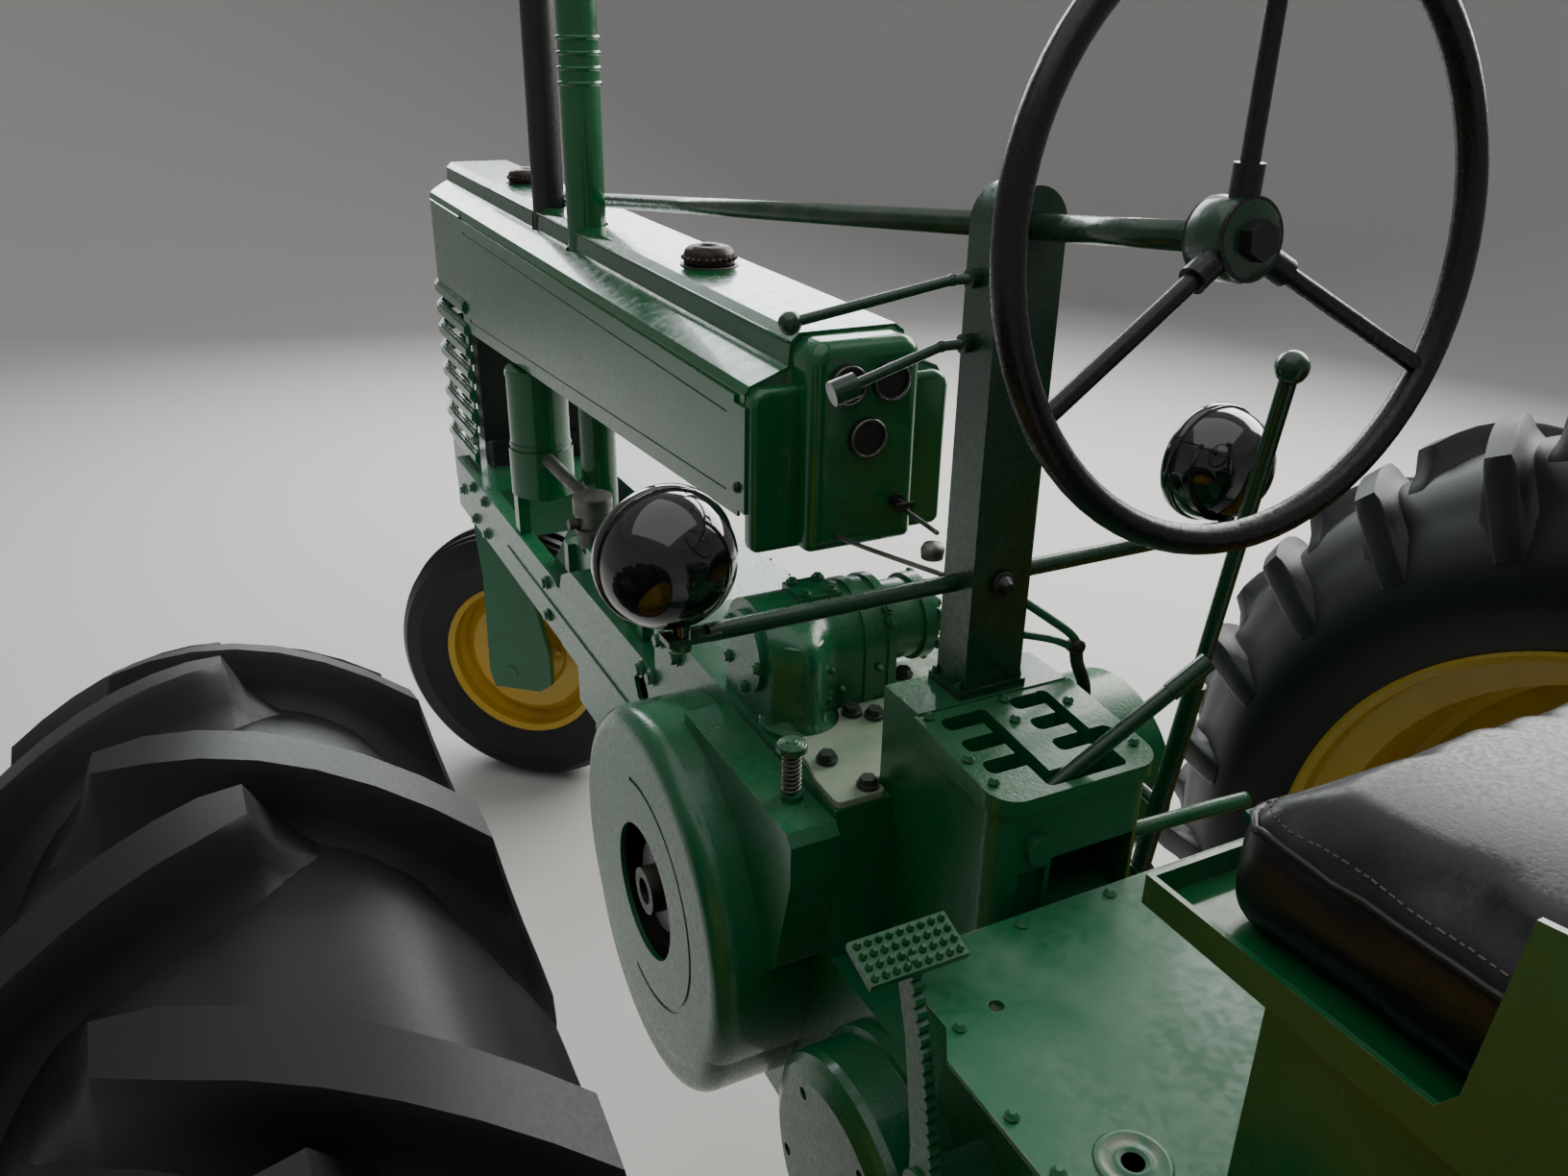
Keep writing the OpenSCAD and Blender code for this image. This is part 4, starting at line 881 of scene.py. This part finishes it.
# the starter's return spring round its stem, and the rings pressed in its head
def makeStarter():
    foot = at(0.478, 0.183, 1.0526)
    r, steps = controls["springRadius"], controls["springSteps"]
    count = controls["springTurns"] * steps
    spring = []
    for k in range(count + 1):
        a = 2 * math.pi * k / steps
        height = 0.0022 + controls["springHeight"] * k / count
        spring.append(foot + Vector((r * math.cos(a), r * math.sin(a), height)))
    tube("starterSpring", spring, controls["springWire"], "bareSteel", sides=8, steps=1)
    outline = [(0.0168, 0.0)]
    for k in range(4):
        r = 0.0160 - 0.0036 * k
        crest = 0.0020 + 0.0010 * k
        outline += [(r, 0.0004 + 0.0012 * k), (r - 0.0006, crest), (r - 0.0020, crest),
                    (r - 0.0026, 0.0008 + 0.0012 * k)]
    outline.append((0.0, 0.0052))
    turned("starterRings", at(0.478, 0.183, 1.1113), (0, 0, 1), outline, "castGreen")


# each line: name, the size that gives its radius and the share of it, finish, steps, wrap, and its points
pipeLines = (
    ("controlPipe", "pipeRadius", 1.0, "castGreen", 6, 0.0, (
        (0.418, -0.0352, 1.272), (0.408, -0.054, 1.258), (0.402, -0.078, 1.240), (0.400, -0.104, 1.220),
        (0.400, -0.117, 1.206), (0.400, -0.119, 1.196))),
    ("controlPipeLow", "pipeRadius", 0.9, "castGreen", 6, 0.0, (
        (0.425, -0.0352, 1.222), (0.412, -0.060, 1.219), (0.404, -0.092, 1.210), (0.400, -0.116, 1.197))),
)
rodLines = (
    ("wrappedPipe", "cableRadius", 1.0, "greasyBolt", 22, 0.24, (
        (0.400, -0.1185, 1.200), (0.401, -0.124, 1.177), (0.404, -0.140, 1.145), (0.412, -0.150, 1.110),
        (0.426, -0.155, 1.082), (0.438, -0.154, 1.0555))),
    ("clutchRod", "clutchRodRadius", 1.0, "castGreen", 8, 0.0, (
        (0.290, -0.0930, 1.034), (0.280, -0.130, 1.037), (0.272, -0.200, 1.041), (0.262, -0.262, 1.046))),
    ("chokeRod", "dashRodRadius", 1.0, "bareSteel", 10, 0.0, (
        (0.664, 0.036, 1.256), (0.56, 0.0385, 1.275), (0.438, 0.0352, 1.296))),
    ("shutterRod", "dashRodRadius", 1.0, "bareSteel", 10, 0.0, (
        (0.664, -0.056, 1.277), (0.58, -0.026, 1.296), (0.500, 0.003, 1.314))),
)


def makeLines(lines):
    for name, sizeName, share, finishName, steps, wrap, spots in lines:
        points = [at(*spot) for spot in spots]
        tube(name, points, controls[sizeName] * share, finishName, steps=steps, wrap=wrap)


# two control pipes that meet at a clip, a wrapped cable, the clutch rod, and two dash rods with a cap
def makeControls():
    makeStarter()
    makeLines(pipeLines)
    turned("pipeClip", at(0.394, -0.118, 1.199), (1, 0, 0),
           [(0.0, 0.0), (0.009, 0.0), (0.009, 0.012), (0.0, 0.012)], "plainBlack", sides=20)
    makeLines(rodLines)
    turned("rodCap", at(0.500, 0.007, 1.286), (0, 0, 1),
           [(0.0, 0.0), (0.012, 0.0), (0.013, 0.010), (0.010, 0.016), (0.0, 0.018)], "bareSteel", sides=28)


makePedals()
makePlatform()
makeControls()
print("stage: fittings made")

lamps = dict(centreX=0.442, centreY=0.33, centreZ=1.362, rim=0.0670, nutX=0.418, nutZ=1.2919)


def makeLamps():
    r = lamps["rim"]
    for side, tag in bothSides:
        centre = at(lamps["centreX"], side * lamps["centreY"], lamps["centreZ"])
        turned("lampRim" + tag, centre, (1, 0, 0), [
            (r - 0.0068, 0.0188), (r - 0.0055, 0.0208), (r - 0.0012, 0.0202), (r + 0.0008, 0.0170),
            (r + 0.0008, 0.0070), (r - 0.0015, 0.0045)], "lampBlack", sides=64)
        turned("lampLens" + tag, centre, (1, 0, 0), [
            (0.0, 0.0363), (0.020, 0.0347), (0.040, 0.0295), (0.052, 0.0245), (0.0605, 0.0199)],
            "lampGlass", sides=64)
        turned("lampNut" + tag, at(lamps["nutX"], side * lamps["centreY"], lamps["nutZ"]), (0, 0, -1),
               [(0.0, 0.009), (0.0095, 0.009), (0.0105, 0.007), (0.0105, 0.0)], "castGreen", sides=6)


makeLamps()

hoodTrim = dict(pivotX=0.710, pivotZ=1.490, rise=1.08, beadRadius=0.0024, beadY=0.0752, beadZ=1.4795,
                beadLength=1.36, fastenerRadius=0.0072, capFoot=1.4903, capLift=0.0012, grips=24,
                gripRadius=0.0034, gripRing=0.0352, gripHeight=0.0105)


# a point on the hood, given as if the hood were level
def onHood(x, y, z):
    rise = math.radians(hoodTrim["rise"])
    dx, dz = x - hoodTrim["pivotX"], z - hoodTrim["pivotZ"]
    return at(hoodTrim["pivotX"] + dx * math.cos(rise) - dz * math.sin(rise), y,
              hoodTrim["pivotZ"] + dx * math.sin(rise) + dz * math.cos(rise))


# domed filler caps with a dark seat and finger grips round each
def makeCaps():
    rise = math.radians(hoodTrim["rise"])
    up = Vector((-math.sin(rise), 0, math.cos(rise)))
    size = hoodTrim["gripRadius"]
    cap = [(0.0, 0.0285), (0.010, 0.0283), (0.0112, 0.0270), (0.020, 0.0262), (0.0290, 0.0238),
           (0.0338, 0.0200), (0.0360, 0.0150), (0.0364, 0.0060), (0.0356, 0.0015), (0.0340, 0.0)]
    for x, tag in ((1.112, "Rear"), (2.036, "Front")):
        foot = onHood(x, 0, hoodTrim["capFoot"])
        turned("capSeat" + tag, foot, up,
               [(0.0345, 0.0), (0.0345, 0.0016), (0.0405, 0.0014), (0.0415, 0.0)], "plainBlack", sides=48)
        outline = [(r, h + hoodTrim["capLift"]) for r, h in cap]
        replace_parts(turned("fillerCap" + tag, foot, up, outline, "rustyCap", sides=64), "filler_caps")
        grips = []
        for k in range(hoodTrim["grips"]):
            a = 2 * math.pi * k / hoodTrim["grips"]
            away = Vector((math.cos(a), math.sin(a), 0))
            grips.append((foot + up * hoodTrim["gripHeight"] + away * hoodTrim["gripRing"], away))
        heads("capGrips" + tag, roundTree, grips, "rustyCap", size, size)


def makeHood():
    spots = [(onHood(0.718, side * 0.1352, 1.312), (0, side, 0)) for side, tag in bothSides]
    heads("panelFasteners", roundTree, spots, "plainBlack", hoodTrim["fastenerRadius"], 0.004)
    for side, tag in bothSides:
        line = [onHood(0.714 + hoodTrim["beadLength"] * k / 24, side * hoodTrim["beadY"], hoodTrim["beadZ"])
                for k in range(25)]
        tube("hoodBead" + tag, line, hoodTrim["beadRadius"], "sheetGreen", sides=10, steps=1)
        latch = [(at(x, side * 0.1355, 0.975), (0, side, 0)) for x in (2.086, 2.102)]
        heads("shellLatch" + tag, hexTree, latch, "bareSteel", 0.007, 0.008, 0.010)
    makeCaps()


makeHood()

dash = dict(face=0.660, front=0.7097, half=0.073, low=1.236, high=1.486, corner=0.026, rim=0.018,
            sheet=0.003, bottomCorner=0.012, wingFace=0.6915, wingHalf=0.131, wingHigh=1.433, wingCorner=0.022,
            wingRim=0.008)


def panRing(x, half, low, high, corner, inset):
    bottomCorner = dash["bottomCorner"]
    ring = []
    for y, z, radius, start in ((half, high, corner, 0), (-half, high, corner, 90),
                                (-half, low, bottomCorner, 180), (half, low, bottomCorner, 270)):
        r = max(radius - inset, 0.002)
        cy = y - math.copysign(inset + r, y)
        cz = z - (inset + r) * (1 if z == high else -1)
        for k in range(9):
            a = math.radians(start + k * 90 / 8)
            ring.append(at(x, cy + r * math.cos(a), cz + r * math.sin(a)))
    return ring


# a pressed pan that opens forwards: rounded outline, rounded rear rim and thin walls
def makePan(name, face, half, high, corner, rim):
    front, thick = dash["front"], dash["sheet"]
    steps = []
    for k in range(7):
        a = math.pi / 2 * k / 6
        steps.append((face + rim * (1 - math.cos(a)), rim * (1 - math.sin(a))))
    steps += [(front, 0.0), (front, thick), (face + rim, thick),
              (face + thick + rim * 0.3, thick + rim * 0.3), (face + thick, rim + thick)]
    verts = []
    for x, inset in steps:
        verts += panRing(x, half, dash["low"], high, corner, inset)
    n = len(verts) // len(steps)
    faces = [capFace(0, n)] + ringFaces(len(steps), n) + [capFace(len(steps) - 1, n)]
    piece = addPiece(name, verts, faces, "sheetGreen")
    piece.data.set_sharp_from_angle(angle=math.radians(40))
    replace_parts(piece, "dash_cowl")


makePan("dashShell", dash["face"], dash["half"], dash["high"], dash["corner"], dash["rim"])
makePan("dashWings", dash["wingFace"], dash["wingHalf"], dash["wingHigh"], dash["wingCorner"],
        dash["wingRim"])
print("stage: lamps and hood hardware made")

# a lead is the angle of a row of bars, and a lean how far they turn for each metre across, both in degrees
tyreShape = dict(radius=0.745, crown=3.4, copies=24, shoulder=0.114, barWidth=0.038, flare=0.0115,
                 rimStation=0.715, sunk=0.009, beadRadius=0.472, beadOffset=0.106,
                 innerLead=3.9, innerLean=37, innerNose=0.050, outerLead=-0.95, outerLean=33, outerNose=0.012)


# copies of one pattern in a ring about an axle along y
def ringTree():
    tree, start, end = geometryTree(
        "ringOfCopies", "Pattern", [("Copies", "Int", 24), ("Axle", "Vector", None)])
    spots = addNode(tree, "GeometryNodePoints", {
        "Count": start.outputs["Copies"], "Position": start.outputs["Axle"]})
    index = addNode(tree, "GeometryNodeInputIndex")
    share = maths(tree, "DIVIDE", index.outputs[0], start.outputs["Copies"])
    euler = addNode(tree, "ShaderNodeCombineXYZ", {"Y": maths(tree, "MULTIPLY", share, 2 * math.pi)})
    rotation = addNode(tree, "FunctionNodeEulerToRotation", {0: euler.outputs[0]})
    return spreadCopies(tree, start, end, spots.outputs[0], start.outputs["Pattern"], rotation.outputs[0])


# the carcass without its bars, as (offset, radius) from the middle of the tread to the bead
carcassHalf = [(0.0, 0.711), (0.041, 0.7065), (0.070, 0.6935), (0.090, 0.671), (0.106, 0.643),
               (0.122, 0.614), (0.1360, 0.578), (0.136, 0.540), (0.122, 0.500), (0.112, 0.484)]
# a bar's last stations, down the sidewall: offset and radius of top and foot, and share of the end width
sidewallStations = [(0.1185, 0.676, 0.1145, 0.614, 1.0), (0.1240, 0.650, 0.1170, 0.608, 1.0),
                    (0.1300, 0.625, 0.1205, 0.600, 0.96), (0.1350, 0.602, 0.1255, 0.589, 0.9),
                    (0.1362, 0.584, 0.1300, 0.578, 0.8)]
# a bar's nose, in a hollow curve down to the carcass: distance back, share of height, share of width
noseStations = [(0.003, 0.86, 0.76), (0.010, 0.50, 0.72), (0.022, 0.26, 0.70), (0.036, 0.10, 0.66)]
# a bar's flank: how far it flares at each share of the height
flankSteps = [(1.9, 0.0), (0.9, 0.24), (0.30, 0.54), (0.05, 0.86)]


def carcassRadius(offset):
    offset = abs(offset)
    for (a, ra), (b, rb) in zip(carcassHalf, carcassHalf[1:]):
        if a <= offset <= b:
            return ra + (rb - ra) * (offset - a) / (b - a)
    return carcassHalf[-4][1]


# a bar's stations from nose to sidewall: offset and radius of top and foot, and width
def barStations(nose):
    shape = tyreShape
    wide, sunk = shape["barWidth"], shape["sunk"]
    reach = shape["shoulder"] + nose
    stations = []
    for k in range(8):
        w = -nose + reach * k / 7
        top = shape["radius"] - shape["crown"] * w * w
        stations.append((w, top, w, carcassRadius(w) - sunk, wide * (0.80 if k == 0 else 1.0)))
    for back, share, narrow in noseStations:
        w = -nose - back
        low = carcassRadius(w) - sunk
        top = shape["radius"] - shape["crown"] * nose * nose
        stations.insert(0, (w, low + (top - low) * share, w, low, wide * narrow))
    return stations + [(*ends, wide * 1.06 * share) for *ends, share in sidewallStations]


# one bar of the tread about the origin: side is +1 for the outer half and -1 for the inner half
def treadBar(verts, faces, side, lead, lean, nose):
    stations = barStations(nose)
    base = len(verts)
    for topW, topR, lowW, lowR, width in stations:
        centre = lead - lean * topW
        row = [(-width / 2 - tyreShape["flare"] * spread, share) for spread, share in flankSteps]
        row += [(-width / 2 + 0.0030, 1.0), (0.0, 1.0)]
        row += [(-d, share) for d, share in reversed(row[:5])]
        for d, share in row:
            w = lowW + (topW - lowW) * share
            r = lowR + (topR - lowR) * share
            a = math.radians(centre) + d / r
            verts.append(Vector((r * math.sin(a), side * w, r * math.cos(a))))
    n = len(row)
    faces += ringFaces(len(stations), n, base) + [capFace(0, n, base), capFace(len(stations) - 1, n, base)]


def makeRearTyres():
    shape = tyreShape
    line = smoothLine(carcassHalf, 4)
    outline = [(p[1], -p[0]) for p in reversed(line[1:])] + [(p[1], p[0]) for p in line]
    beadRadius, beadOffset = shape["beadRadius"], shape["beadOffset"]
    outline += [(beadRadius, beadOffset), (beadRadius, -beadOffset), outline[0]]
    ring = ringTree()
    for side, tag in bothSides:
        word = tag.lower()
        body = "rear_wheel_" + word
        centre = at(0, side * shape["rimStation"], shape["radius"])
        carcass = turned("rearCarcass" + tag, centre, (0, 1, 0), outline, "rubber", body, sides=96)
        verts, faces = [], []
        treadBar(verts, faces, -1, shape["innerLead"], shape["innerLean"], shape["innerNose"])
        treadBar(verts, faces, 1, shape["outerLead"], shape["outerLean"], shape["outerNose"])
        mesh = meshOf("treadPair" + tag, verts, faces)
        tidyMesh(mesh)
        sizes = {"Copies": shape["copies"], "Axle": tuple(centre)}
        bars = grown("treadBars" + tag, ring, mesh, sizes, "rubber", body)
        shade(bars.data, True, 38)
        for piece in (carcass, bars):
            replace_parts(piece, "rear_tyre_" + word)


makeRearTyres()

# a ring of bolts is its radius, its count and the size of a head
wheelBolts = dict(rearHub=(0.125, 8, 0.013), rearRim=(0.405, 12, 0.009), frontHub=(0.072, 6, 0.008),
                  steer=50)


# bolts in a ring, each set down along the axis on the surface of its node
def boltRing(name, nodeName, centre, axis, ring, body):
    radius, count, size = ring
    source = bpy.data.objects[nodeName].data
    corners, polygons = [v.co for v in source.vertices], [tuple(p.vertices) for p in source.polygons]
    surface = BVHTree.FromPolygons(corners, polygons)
    axis = Vector(axis).normalized()
    side = Vector((0, 0, 1))
    places = []
    for spot in circle(Vector(centre), side, axis.cross(side), radius, count, 0.5):
        hit = surface.ray_cast(spot + axis * 0.5, -axis, 1.0)[0]
        if hit is not None:
            places.append((hit, axis))
    heads(name, hexTree, places, "wheelYellow", size, size * 0.75, size * 1.4, body)


def makeWheelBolts():
    for side, tag in bothSides:
        word = tag.lower()
        centre = at(0, side * tyreShape["rimStation"], tyreShape["radius"])
        for ringName in ("rearHub", "rearRim"):
            boltRing(ringName + "Bolts" + tag, "rear_rim_" + word, centre, (0, side, 0),
                     wheelBolts[ringName], "rear_wheel_" + word)
    low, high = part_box("front_rim")
    middle = (Vector(low) + Vector(high)) / 2
    steer = math.radians(wheelBolts["steer"])
    for side, tag in bothSides:
        axis = Vector((-math.sin(steer), math.cos(steer), 0)) * side
        boltRing("frontHubBolts" + tag, "front_rim", middle, axis, wheelBolts["frontHub"], "front_wheel")


makeWheelBolts()
print("stage: rear tyres and wheel bolts made")

stage = dict(flat=7.0, reach=13.0, height=9.0, sides=96, curveSteps=16, colour=(0.62, 0.61, 0.59, 1),
             rough=0.85)


# a round floor that curves up into a backdrop
def makeFloor():
    flat, sides = stage["flat"], stage["sides"]
    profile = [(flat * 0.5, 0.0), (flat, 0.0)]
    for k in range(1, stage["curveSteps"] + 1):
        a = math.pi / 2 * k / stage["curveSteps"]
        profile.append((flat + (stage["reach"] - flat) * math.sin(a), stage["height"] * (1 - math.cos(a))))
    verts = [(r * math.cos(2 * math.pi * k / sides), r * math.sin(2 * math.pi * k / sides), z)
             for r, z in profile for k in range(sides)]
    faces = [capFace(0, sides)] + [(a, d, c, b) for a, b, c, d in ringFaces(len(profile), sides)]
    mesh = meshOf("floor", verts, faces)
    tidyMesh(mesh)
    material = bpy.data.materials.new("paleFloor")
    material.use_nodes = True
    give(material.node_tree, material.node_tree.nodes["Principled BSDF"], {
        "Base Color": stage["colour"], "Roughness": stage["rough"]})
    mesh.materials.append(material)
    newObject("floor", mesh)


# each light: place, target, size, power and colour
lights = dict(
    windowLight=((1.5, -4.5, 3.6), (0.0, 0.0, 0.9), (5.0, 3.0), 360, (1.0, 0.98, 0.95)),
    farWindow=((5.0, -1.3, 3.3), (0.3, 0.0, 1.0), (4.0, 2.4), 220, (0.93, 0.98, 1.0)),
    topSoft=((-0.5, 0.5, 4.8), (-0.2, 0.0, 0.5), (5.0, 5.0), 60, (1.0, 1.0, 1.0)))
sky = dict(colour=(0.80, 0.82, 0.85, 1), strength=0.30)


def makeLight(name, place, target, size, power, colour):
    data = bpy.data.lights.new(name, "AREA")
    data.shape = "RECTANGLE"
    data.size, data.size_y = size
    data.energy = power
    data.color = colour
    lamp = newObject(name, data)
    lamp.location = place
    lamp.rotation_euler = (Vector(target) - Vector(place)).to_track_quat("-Z", "Y").to_euler()


makeFloor()
for lightName, values in lights.items():
    makeLight(lightName, *values)
world = bpy.data.worlds.new("studio")
world.use_nodes = True
give(world.node_tree, world.node_tree.nodes["Background"], {
    "Color": sky["colour"], "Strength": sky["strength"]})
bpy.context.scene.world = world
print("stage: floor and light set")
